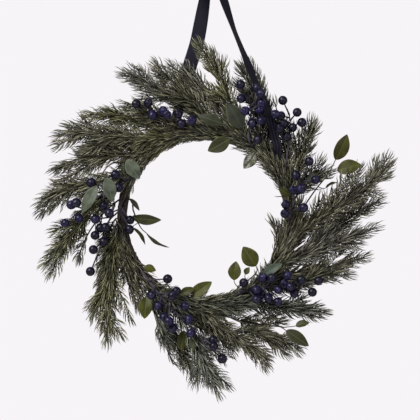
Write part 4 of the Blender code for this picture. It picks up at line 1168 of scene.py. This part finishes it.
SPRAYS = [
    (12, 40, (202, -20, 78), 25, 1, "grey"),
    (16, 75, (166.6, -22, 161.2), 77, 1, "olive"),
    (26, 105, (76, -22, 108), 142, 0, "olive"),
    (29, -10, (105, -12, 188), 103, 0, "grey"),
    (44, -20, (64.3, 2, 251.1), 111, 1, "olive"),
    (50, 55, (45.7, -14, 244.9), 127, 1, "grey"),
    (59, 80, (-19.4, -30, 275.9), 130, 2, "moss"),
    (68, 20, (-36.4, -12, 241.8), 121, 1, "grey"),
    (79, 60, (-86.0, -20, 244.9), 137, 1, "olive"),
    (88, 10, (-140.3, -6, 226.3), 162, 2, "grey"),
    (100, 60, (-138.7, -20, 179.8), 166, 1, "olive"),
    (76, 120, (-66, -20, 132), 196, 0, "olive"),
    (110, 15, (-197.6, -8, 158.0), 185, 1, "moss"),
    (119, 75, (-239.5, -22, 122.5), 197, 2, "olive"),
    (104, 110, (-112, -24, 104), 222, 0, "moss"),
    (127, -20, (-203.8, 4, 100.8), 205, 1, "grey"),
    (134, 50, (-244.0, -12, 68.0), 213, 2, "olive"),
    (144, 85, (-265.8, -24, 17.0), 215, 2, "olive"),
    (160, -10, (-256.5, -6, -80.6), 225, 2, "moss"),
    (168, -40, (-199.0, 6, -74.4), 258, 1, "grey"),
    (180, 20, (-168.0, -8, -96.0), 240, 1, "grey"),
    (187, 75, (-152.7, -24, -203.0), 266, 3, "moss"),
    (205, 30, (-107.7, -10, -153.5), 271, 0, "olive"),
    (195, -50, (-179.0, 4, -158.0), 250, 1, "olive"),
    (229, 55, (-42.6, -18, -238.7), 296, 1, "blue"),
    (236, -15, (-14.7, 0, -258.9), 288, 1, "olive"),
    (243, 75, (25.6, -26, -280.6), 297, 2, "blue"),
    (255, 0, (47.3, -2, -218.6), 296, 1, "olive"),
    (263, 65, (100.0, -22, -238.7), 302, 1, "olive"),
    (268, 110, (88, -22, -128), 4, 0, "blue"),
    (276, 15, (152.7, -8, -212.4), 318, 1, "olive"),
    (292, 55, (196.1, -20, -147.3), 352, 1, "blue"),
    (308, 80, (233.3, -24, -89.9), 353, 1, "olive"),
    (317, 15, (259.6, -6, -57.4), 14, 1, "olive"),
    (326, 60, (275.0, -20, -10.9), 16, 2, "grey"),
    (335, -20, (281.3, 4, 31.0), 21, 1, "olive"),
    (345, 60, (293.7, -16, 93.0), 49, 2, "olive"),
    (329, 125, (95.3, -14, 4.7), 121, 0, "olive"),
]
STEM_OUTWARD = 0.6
STEM_LIFT = 0.45
SAG_REACH = 4 / 3
STEM_BENDS = (0.0, -5.0, 5.0, -10.0, 10.0, -15.0, 15.0, -20.0, 20.0)
SIDE_SHIFTS = (0, 25, -25, 50, -50, 75, -75)
TWIG_SPREAD = 36.0
TWIG_TILTS = (0, 25, -25, 50, -50)
TWIG_SHARES = (1.0, 0.7)
TWIG_REACH = 0.62
TWIG_LEAST = 10.0
TWIG_RADIUS = 0.8
TWIG_TIP_RADIUS = 0.5
TWIG_NEARNESS = 1.8
SMALL_TWIG_PITCH = 16.0
SMALL_TWIG_LENGTHS = (26.0, 46.0)
SMALL_TWIG_SPREAD = 15.0
SMALL_TWIG_TILTS = (-35.0, 75.0)
SMALL_TWIG_FIRST = 9.0
SMALL_TWIG_LAST = 0.8
SMALL_TWIG_SHORT = 7.0
SMALL_TWIG_LEAST = 12.0
SMALL_TWIG_ROOM = 2.5
# The share that is kept of a spray's side twigs
TWIG_TRIMS = {
    1: 0.5, 7: 0.5, 11: 0.5, 13: 0.45, 14: 0.8, 16: 0.6, 17: 0.6, 18: 0.5,
    19: 0.4, 20: 0.3, 24: 0.2, 25: 0.35, 28: 0.5, 35: 0.8, 36: 0.5,
}
# How far along its spray's stem each added twig leaves, and where it ends
ADDED_TWIGS = {
    1: [(0.45, (176, -20, 86))],
    8: [(0.6, (-52, -12, 234))],
    14: [(0.7, (-226, -20, 113))],
    17: [(0.3, (-222, -14, 56))],
    18: [(0.6, (-236, -24, 17)), (0.8, (-252, -22, 9))],
    19: [(0.45, (-230, -10, -18)), (0.7, (-238, -8, -84))],
    27: [(0.65, (34, -24, -256))],
    29: [(0.6, (92, -20, -208))],
    31: [(0.5, (122, -10, -208)), (0.35, (104, -12, -190)), (0.25, (108, -16, -152))],
    35: [(0.25, (188, -24, -16))],
    37: [
        (0.75, (263, -14, 84)), (0.5, (236, -14, 74)), (0.25, (196, -20, 46)),
        (0.15, (176, -22, 26)), (0.85, (279, -16, 90)),
    ],
}
COVER_SIDES = (10.0, 55.0, 95.0)
COVER_STEPS = 4
COVER_STEP = 6.0
COVER_REACHES = (11.5, 17.0)
INNER_EDGE = 119.0
INNER_TURNS = (70.0, 165.0)
INNER_STEP = 5.0
BARE_TURNS = (140.0, 175.0)
EDGE_TURNS = (175.0, 200.0)
EDGE_SIDES = (30.0, 55.0)
OPEN_DEPTH = 24.0
# Both ends of a gap's middle line, and half its width
OPEN_GAPS = [
    ((-156, -9), (-156, 11), 5.0),
    ((-176, -8), (-184, -64), 5.5),
    ((-123, -107), (-106, -160), 1.5),
    ((136, -50), (162, -30), 2.5),
    ((200, -66), (224, -54), 2.5),
    ((108, -171), (122, -178), 4.0),
    ((34, -156), (54, -162), 1.0),
    ((-182, 173), (-145, 182), 5.0),
    ((-238, 90), (-206, 101), 6.5),
    ((-270, 27), (-243, 58), 4.0),
    ((-195, -130), (-187, -165), 6.0),
    ((-83, -182), (-60, -230), 4.0),
    ((-24, -273), (-4, -269), 5.0),
    ((39, -220), (44, -258), 4.0),
    ((270, 54), (286, 40), 5.0),
    ((246, -2), (264, -5), 4.0),
    ((98, -10), (104, -38), 2.5),
    ((101, 60), (109, 36), 2.5),
    ((6, -116), (42, -111), 2.5),
    ((-116, 247), (-94, 240), 4.0),
    ((-226, 151), (-200, 161), 4.0),
    ((176, 52), (202, 62), 3.0),
    ((104, 172), (124, 166), 3.0),
    ((2, 226), (12, 214), 3.0),
    ((-136, 187), (-114, 181), 3.5),
    ((174, -105), (198, -101), 3.0),
    ((104, -48), (98, -66), 2.5),
    ((-180, -106), (-172, -118), 4.0),
    ((-84, -148), (-74, -170), 3.0),
    ((-62, -217), (-46, -238), 3.0),
]
RING_VIEW_TURNS = (176.0, 208.0, 2.0)
RING_VIEW_REACH = 9.0
RING_VIEW_SIDE = 135
RING_VIEW_HALF = 4.0
WHORL_PITCH = 19.3
WHORL_SEAT = 2.6
FIRST_WHORL = 16.0
END_NEEDLE = 15.0

NEEDLE_LENGTH = 22.4
NEEDLE_RADIUS = 0.84
NEEDLE_CURVE = 0.16
NEEDLE_PITCH = 0.56
NEEDLE_LEAN = 43.0
FRONT_SWEEP = 0.35
TIP_REACH = 50.0
TIP_THINNING = 0.62
TWIG_THINNING = 0.32
BARE_FOOT = 6.0
LEAN_SPREAD = 5.0
END_LEAN = 20.0
END_LENGTH = 16.0
END_SHORTENING = 0.12
END_FILLING = 0.9
RIM_START = 190.0
RIM_END = 285.0
NEEDLE_TINTS = {
    "olive": ((0.050, 0.048, 0.024), (0.40, 0.385, 0.25)),
    "moss": ((0.055, 0.055, 0.020), (0.37, 0.365, 0.19)),
    "grey": ((0.047, 0.045, 0.030), (0.42, 0.405, 0.31)),
    "blue": ((0.044, 0.048, 0.032), (0.38, 0.40, 0.30)),
}
FROST = (0.34, 0.335, 0.30)
RIM_FROST = 0.17


def spray_stem(turn, side, tip, heading, bend):
    """A stem that leaves the ring anticlockwise and outward and comes in to its tip on a heading."""
    root = seat(turn, side, STEM_RADIUS)
    away = round_bundle(turn, side)
    leaving = unit(from_heading(turn + 90) + STEM_OUTWARD * from_heading(turn) + STEM_LIFT * away)
    end = np.array(tip, float) - END_NEEDLE * from_heading(heading)
    reach = np.linalg.norm(end - root) / 3
    sag = SAG_REACH * bend * BACK
    return bezier(root, root + reach * leaving + sag, end - reach * from_heading(heading) + sag, end)


def twig_line(start, heading, side, length, spread=TWIG_SPREAD):
    """A side twig leaves at a spread angle and bends a little towards its stem's own heading."""
    angle = math.radians(spread)
    out = unit(math.cos(angle) * heading + math.sin(angle) * side)
    end = start + length * unit(out + 0.15 * heading)
    return bezier(start, start + length / 3 * out, end - length / 3 * unit(out + 0.3 * heading), end, 20)


def find_stem(skin, turn, side, tip, heading):
    """Of the ways that a stem can bend and sit, the one that lies in its solid."""
    ways = []
    for shift in SIDE_SHIFTS:
        for bend in STEM_BENDS:
            stem = spray_stem(turn, side + shift, tip, heading, bend)
            ways.append((mean_gap(skin, stem), stem))
    return min(ways, key=lambda way: way[0])[1]


def find_twigs(skin, stem, count):
    """The side twigs that lie in the solid, each by its closest tilt and length."""
    marks_count = max(1, round((stem.length - FIRST_WHORL) / WHORL_PITCH))
    marks = np.linspace(FIRST_WHORL, stem.length - WHORL_SEAT / 2, marks_count + 1)
    twigs = []
    for k in range(count):
        wanted = stem.length * (0.3 + 0.5 * (k + 0.5) / count)
        foot = marks[np.argmin(abs(marks - wanted))]
        heading = stem.heading(foot)
        flat = unit(np.cross(heading, FRONT)) * (1 if k % 2 else -1)
        ways = []
        for share in TWIG_SHARES:
            for tilt in TWIG_TILTS:
                side = turn_about(flat, heading, tilt)
                length = share * (TWIG_REACH * (stem.length - foot) + TWIG_LEAST)
                line = twig_line(stem.at(foot) + STEM_TIP_RADIUS * side, heading, side, length)
                ways.append((mean_gap(skin, line, first=8.0) - 0.3 * share, line))
        gap, line = min(ways, key=lambda way: way[0])
        if gap < TWIG_NEARNESS:
            twigs.append(line)
    return twigs


def small_twigs(stem, others, draw):
    """Short twigs all round a stem that thicken the spray towards the ring, clear of other pieces."""
    twigs = []
    marks = np.arange(SMALL_TWIG_FIRST, SMALL_TWIG_LAST * stem.length, SMALL_TWIG_PITCH)
    for k, foot in enumerate(marks):
        heading = stem.heading(foot)
        flat = unit(np.cross(heading, FRONT)) * (1 if k % 2 else -1)
        tilt = math.radians(draw.uniform(*SMALL_TWIG_TILTS))
        side = unit(math.cos(tilt) * flat + math.sin(tilt) * BACK)
        length = draw.uniform(*SMALL_TWIG_LENGTHS) * (1 - 0.3 * foot / stem.length)
        length = min(length, stem.length - foot - SMALL_TWIG_SHORT)
        if length < SMALL_TWIG_LEAST:
            continue
        start = stem.at(foot) + STEM_TIP_RADIUS * side
        line = twig_line(start, heading, side, length, SMALL_TWIG_SPREAD)
        if min(gap_to(others, point) for point in line.points[3::3]) > SMALL_TWIG_ROOM:
            twigs.append(line)
    return twigs


def added_twigs(stem, rows):
    """Twigs listed one by one: how far along the stem each leaves it, and where it ends."""
    twigs = []
    for share, end in rows:
        start, end = stem.at(share * stem.length), np.array(end, float)
        reach = np.linalg.norm(end - start) / 3
        lead = start + reach * stem.heading(share * stem.length)
        twigs.append(bezier(start, lead, end - reach * unit(end - start), end, 20))
    return twigs


def keep_inner_edge():
    """Along its upper left the needles stop at the inner edge of the ring."""
    turns = np.arange(*INNER_TURNS, INNER_STEP)
    edge = np.array([INNER_EDGE * from_heading(turn) for turn in turns])
    for depth in (OPEN_DEPTH, 0.0, -OPEN_DEPTH):
        clear_views.append(edge + depth * BACK)


def keep_gaps_open():
    """No needle crosses the gaps between some sprays, nor a stretch of the ring at the lower left."""
    strip = [
        ring_line(turn) + RING_VIEW_REACH * round_bundle(turn, RING_VIEW_SIDE)
        for turn in np.arange(*RING_VIEW_TURNS)
    ]
    keep_in_view(strip, RING_VIEW_HALF)
    for (x, z), (last_x, last_z), half_width in OPEN_GAPS:
        for depth in (OPEN_DEPTH, 0.0, -OPEN_DEPTH):
            line = np.linspace((x, depth, z), (last_x, depth, last_z), 20)
            keep_in_view(line, half_width)


def cover_twigs(turn, stem, draw):
    """Twigs that run on along the front of the ring and hide it, but for the stretch that is bare."""
    if BARE_TURNS[0] < turn < BARE_TURNS[1]:
        return []
    twigs = []
    for side in EDGE_SIDES if EDGE_TURNS[0] < turn < EDGE_TURNS[1] else COVER_SIDES:
        side = side + draw.uniform(-12, 12)
        points = [stem.at(2.0)]
        for step, reach in enumerate(np.linspace(*COVER_REACHES, COVER_STEPS), 1):
            ahead = turn + COVER_STEP * step
            points.append(ring_line(ahead) + reach * round_bundle(ahead, side))
        twigs.append(Path(curve_through(points, 5)))
    return twigs


def needle_object():
    """One moulded needle along +Z that curves in towards its tip, three-sided and closed."""
    shares = (0.0, 0.35, 0.75)
    widths = (0.75, 1.0, 0.8)
    corners, along = [], []
    for share, width in zip(shares, widths):
        bow = NEEDLE_CURVE * NEEDLE_LENGTH * math.sin(math.pi * share)
        for k in range(3):
            angle = 2 * math.pi * k / 3
            reach = NEEDLE_RADIUS * width
            place = (bow + reach * math.cos(angle), reach * math.sin(angle), share * NEEDLE_LENGTH)
            corners.append([c * MM for c in place])
            along.append(share)
    corners.append([0.0, 0.0, NEEDLE_LENGTH * MM])
    along.append(1.0)
    faces = [(2, 1, 0)]
    for ring in (0, 3):
        for k in range(3):
            a, b = ring + k, ring + (k + 1) % 3
            faces += [(a, b, b + 3), (a, b + 3, a + 3)]
    faces += [(6 + k, 6 + (k + 1) % 3, 9) for k in range(3)]
    mesh = bpy.data.meshes.new("needle")
    mesh.from_pydata(corners, [], faces)
    mesh.shade_smooth()
    mesh.attributes.new("along", "FLOAT", "POINT").data.foreach_set("value", along)
    return new_object("needle", mesh)


def spray_group():
    """Winds stems with tape and sets needles round them in a spiral, clear of other pieces."""
    inputs = {"Lines": ("Geometry",), "Needle": ("Object",), "Keep Clear": ("Object",)}
    for label in (
        "Needle Pitch", "Needle Length", "Bare Foot", "Lean", "Lean Spread", "Front Sweep", "End Lean",
        "End Length", "End Shortening", "End Filling", "Rim Start", "Rim End", "Tip Reach",
        "Tip Thinning", "Twig Thinning",
    ):
        inputs[label] = ("Float",)
    inputs |= {"Middle": ("Vector",), "Seed": ("Int",), "Needles": ("Material",), "Tape": ("Material",)}
    nodes, given, result = new_group("needled spray", "GeometryNodeTree", inputs, {"Spray": "Geometry"})
    stems = nodes.get("SetShadeSmooth", {"Geometry": nodes.swept(given["Lines"], 6)})
    stems = nodes.get("SetMaterial", {"Geometry": stems, "Material": given["Tape"]})

    links = {"Curve": given["Lines"], "Length": given["Needle Pitch"]}
    fine = nodes.get("ResampleCurve", links, mode="LENGTH")
    run = nodes.socket(nodes.put("SplineParameter").outputs, "Length")
    left = nodes.sum("SUBTRACT", nodes.get("SplineLength"), run)
    kept = nodes.put("CaptureAttribute", {"Geometry": fine}, domain="POINT")
    line = nodes.get("CurveOfPoint", out="Curve Index")
    for name, value in (("From Foot", run), ("From End", left), ("Line", line)):
        kept.capture_items.new("FLOAT", name)
        nodes.link(value, kept.inputs[name])
    from_end = kept.outputs["From End"]
    to_points = nodes.put("CurveToPoints", {"Curve": kept.outputs["Geometry"]}, mode="EVALUATED")
    tangent = nodes.socket(to_points.outputs, "Tangent")

    ending = nodes.remap(from_end, 0.0, given["End Length"], 1.0, 0.0)
    golden = nodes.sum("MULTIPLY", nodes.get("InputIndex"), math.radians(137.508))
    azimuth = nodes.sum("ADD", golden, nodes.chance(-0.5, 0.5, given["Seed"], 1))
    loose = nodes.sum("MULTIPLY", nodes.chance(-1.0, 1.0, given["Seed"], 2), given["Lean Spread"])
    up = nodes.get("FunctionNodeAlignRotationToVector", {"Vector": tangent}, axis="Z")
    turned = nodes.turned(up, (0, 0, 1), azimuth)
    sideways = nodes.get("FunctionNodeRotateVector", {"Vector": (1.0, 0.0, 0.0), "Rotation": turned})
    depth = nodes.sum("ABSOLUTE", nodes.put("ShaderNodeSeparateXYZ", {"Vector": sideways}).outputs["Y"])
    swept = nodes.sum("SUBTRACT", 1.0, nodes.sum("MULTIPLY", depth, given["Front Sweep"]))
    lean = nodes.sum("MULTIPLY", nodes.sum("ADD", given["Lean"], loose), swept)
    lean = nodes.sum("SUBTRACT", lean, nodes.sum("MULTIPLY", ending, given["End Lean"]))
    turned = nodes.turned(turned, (0, 1, 0), lean)
    shorter = nodes.sum("SUBTRACT", 1.0, nodes.sum("MULTIPLY", ending, given["End Shortening"]))
    size = nodes.sum("MULTIPLY", nodes.chance(0.84, 1.08, given["Seed"], 3), shorter)

    straight = nodes.get("ShaderNodeCombineXYZ", {"Z": 1.0})
    ray = nodes.get("FunctionNodeRotateVector", {"Vector": straight, "Rotation": turned})
    obstacle = nodes.get("ObjectInfo", {"Object": given["Keep Clear"]}, "Geometry")
    reach = nodes.sum("MULTIPLY", size, given["Needle Length"])
    links = {"Target Geometry": obstacle, "Ray Direction": ray, "Ray Length": reach}
    hit = nodes.get("Raycast", links, "Is Hit")
    bare = nodes.less(kept.outputs["From Foot"], given["Bare Foot"])
    on_twig = nodes.sum("MINIMUM", kept.outputs["Line"], 1.0)
    links = {"Factor": on_twig, "A": given["Tip Thinning"], "B": given["Twig Thinning"]}
    at_tip = nodes.get("ShaderNodeMix", links)
    thin = nodes.remap(from_end, 0.0, given["Tip Reach"], at_tip, 0.0)
    less_filled = nodes.sum("SUBTRACT", 1.0, nodes.sum("MULTIPLY", on_twig, 0.35))
    filling = nodes.sum("MULTIPLY", given["End Filling"], less_filled)
    fuller = nodes.sum("SUBTRACT", 1.0, nodes.sum("MULTIPLY", ending, filling))
    thin = nodes.sum("MULTIPLY", thin, fuller)
    spare = nodes.less(nodes.chance(0.0, 1.0, given["Seed"], 5), thin)
    drop = nodes.logic("OR", nodes.logic("OR", hit, bare), spare)
    place = nodes.get("InputPosition")
    away = nodes.get("ShaderNodeVectorMath", {0: place, 1: given["Middle"]}, "Value", operation="DISTANCE")
    links = {
        "Points": nodes.socket(to_points.outputs, "Points"),
        "Selection": nodes.logic("NOT", drop),
        "Instance": nodes.get("ObjectInfo", {"Object": given["Needle"]}, "Geometry"),
        "Rotation": turned,
        "Scale": size,
    }
    values = {
        "shade": nodes.chance(0.0, 1.0, given["Seed"], 4),
        "rim": nodes.remap(away, given["Rim Start"], given["Rim End"]),
    }
    nodes.plant(links, values, given["Needles"], stems, result["Spray"])
    return nodes.tree


NEEDLED_SPRAY = spray_group()


def needle_material(tint):
    """Each needle has its own shade, and is darker at its foot than at its tip."""
    dark, light = NEEDLE_TINTS[tint]
    material, nodes, shader = new_material("needles_" + tint, Roughness=0.45, Specular_IOR_Level=0.5)
    shade = nodes.attribute("shade")
    along = nodes.attribute("along")
    pale = nodes.sum("POWER", shade, 2.8)
    pale = nodes.sum("MULTIPLY", pale, nodes.sum("MULTIPLY_ADD", along, 0.6, 0.4))
    darker = tuple(0.6 * c for c in dark)
    low = patchy(nodes, dark, darker, patch_scale=35.0, fleck_scale=500.0, fleck=0.4)
    rim = nodes.attribute("rim")
    frosted = nodes.mix(nodes.sum("MULTIPLY", rim, RIM_FROST), low["Colour"], opaque(FROST))
    tone = nodes.mix(pale, frosted, opaque(light))
    foot = nodes.remap(along, 0.0, 0.35, to_low=0.55)
    tone = nodes.scaled(tone, foot)
    nodes.link(tone, shader.inputs["Base Color"])
    return material


def keep_clear_object():
    """What no needle may cross, in one mesh: the other solids and the view of berries and stems."""
    corners, faces = [], []
    for name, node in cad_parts.items():
        if name.startswith("needle_spray"):
            continue
        base = len(corners)
        corners += [v.co[:] for v in node.data.vertices]
        faces += [[base + k for k in p.vertices] for p in node.data.polygons]
    for line in clear_views:
        for p, q in zip(line, line[1:]):
            base = len(corners)
            corners += placed([p, q, q + OPEN_DEPTH * FRONT, p + OPEN_DEPTH * FRONT]).tolist()
            faces.append([base, base + 1, base + 2, base + 3])
    mesh = bpy.data.meshes.new("keep_clear")
    mesh.from_pydata(corners, [], faces)
    return new_object("keep_clear", mesh)


def make_sprays():
    needle = needle_object()
    keep_inner_edge()
    keep_gaps_open()
    obstacle = keep_clear_object()
    others = faces_tree(obstacle.data)
    tape = bark_material("stem_tape", (0.045, 0.04, 0.022), (0.03, 0.022, 0.014))
    tints = {tint: needle_material(tint) for tint in NEEDLE_TINTS}
    for number, (turn, side, tip, heading, count, tint) in enumerate(SPRAYS, 1):
        node = f"needle_spray_{number:02d}"
        skin = skin_of(node)
        stem = find_stem(skin, turn, side, tip, heading)
        draw = np.random.default_rng(number)
        kept = TWIG_TRIMS.get(number, 1.0)
        twigs = [
            Path(twig.points[: round(kept * len(twig.points))]) for twig in find_twigs(skin, stem, count)
        ]
        twigs += small_twigs(stem, others, draw)
        twigs += added_twigs(stem, ADDED_TWIGS.get(number, []))
        twigs += cover_twigs(turn, stem, draw)
        lines = [tapered(stem, STEM_RADIUS, STEM_TIP_RADIUS)]
        lines += [tapered(twig, TWIG_RADIUS, TWIG_TIP_RADIUS) for twig in twigs]
        settings = {
            "Needle": needle,
            "Keep Clear": obstacle,
            "Needle Pitch": NEEDLE_PITCH * MM,
            "Needle Length": NEEDLE_LENGTH * MM,
            "Bare Foot": BARE_FOOT * MM,
            "Lean": math.radians(NEEDLE_LEAN),
            "Lean Spread": math.radians(LEAN_SPREAD),
            "Front Sweep": FRONT_SWEEP,
            "End Lean": math.radians(END_LEAN),
            "End Length": END_LENGTH * MM,
            "End Shortening": END_SHORTENING,
            "End Filling": END_FILLING,
            "Middle": placed([(0, 0, 0)])[0],
            "Rim Start": RIM_START * MM,
            "Rim End": RIM_END * MM,
            "Tip Reach": TIP_REACH * MM,
            "Tip Thinning": TIP_THINNING,
            "Twig Thinning": TWIG_THINNING,
            "Seed": 10 * number,
            "Needles": tints[tint],
            "Tape": tape,
        }
        spray = grow(lines_object(f"fir_spray_{number:02d}", lines), NEEDLED_SPRAY, settings)
        finish_piece(spray, "needles_" + tint, node)
    bpy.data.objects.remove(needle)
    bpy.data.objects.remove(obstacle)


make_sprays()


# Light and floor
# A plain pale floor lies below the view. The light is a wide soft box in front at the upper left, a
# weaker one at the right, and a pale room all round.

FLOOR_HEIGHT = -1.0
ROOM_LIGHT = 0.2
FLOOR_RADIUS = 1.2
PALE = (0.932, 0.905, 0.932)


def soft_box(name, place, aim, side, power):
    data = bpy.data.lights.new(name, "AREA")
    data.size = side
    data.energy = power
    lamp = bpy.data.objects.new(name, data)
    lamp.location = place
    direction = np.array(aim) - np.array(place)
    lamp.rotation_euler = Vector(direction).to_track_quat("-Z", "Y").to_euler()
    bpy.context.scene.collection.objects.link(lamp)


def make_stage():
    bpy.ops.mesh.primitive_circle_add(vertices=64, radius=FLOOR_RADIUS, fill_type="NGON")
    floor = bpy.context.object
    floor.name = "floor"
    floor.location = (0, 0, FLOOR_HEIGHT)
    material, nodes, shader = new_material("floor_paint", Roughness=0.9)
    tint = patchy(nodes, PALE, PALE, 3.0, 40.0, 0.02)
    nodes.link(tint["Colour"], shader.inputs["Base Color"])
    floor.data.materials.append(material)
    world = bpy.data.worlds.new("pale_room")
    bpy.context.scene.world = world
    world.use_nodes = True
    nodes = Nodes(world.node_tree)
    background = world.node_tree.nodes["Background"]
    seen = nodes.get("ShaderNodeLightPath", out="Is Camera Ray")
    strength = nodes.remap(seen, 0.0, 1.0, to_low=ROOM_LIGHT)
    background.inputs["Color"].default_value = opaque(PALE)
    nodes.link(strength, background.inputs["Strength"])
    soft_box("key_light", (-1.2, -1.6, 1.1), (0, 0, -0.38), 1.0, 71.0)
    soft_box("fill_light", (1.6, -1.6, -0.1), (0, 0, -0.38), 1.4, 14.0)


bpy.context.scene.view_settings.view_transform = "Standard"
make_stage()
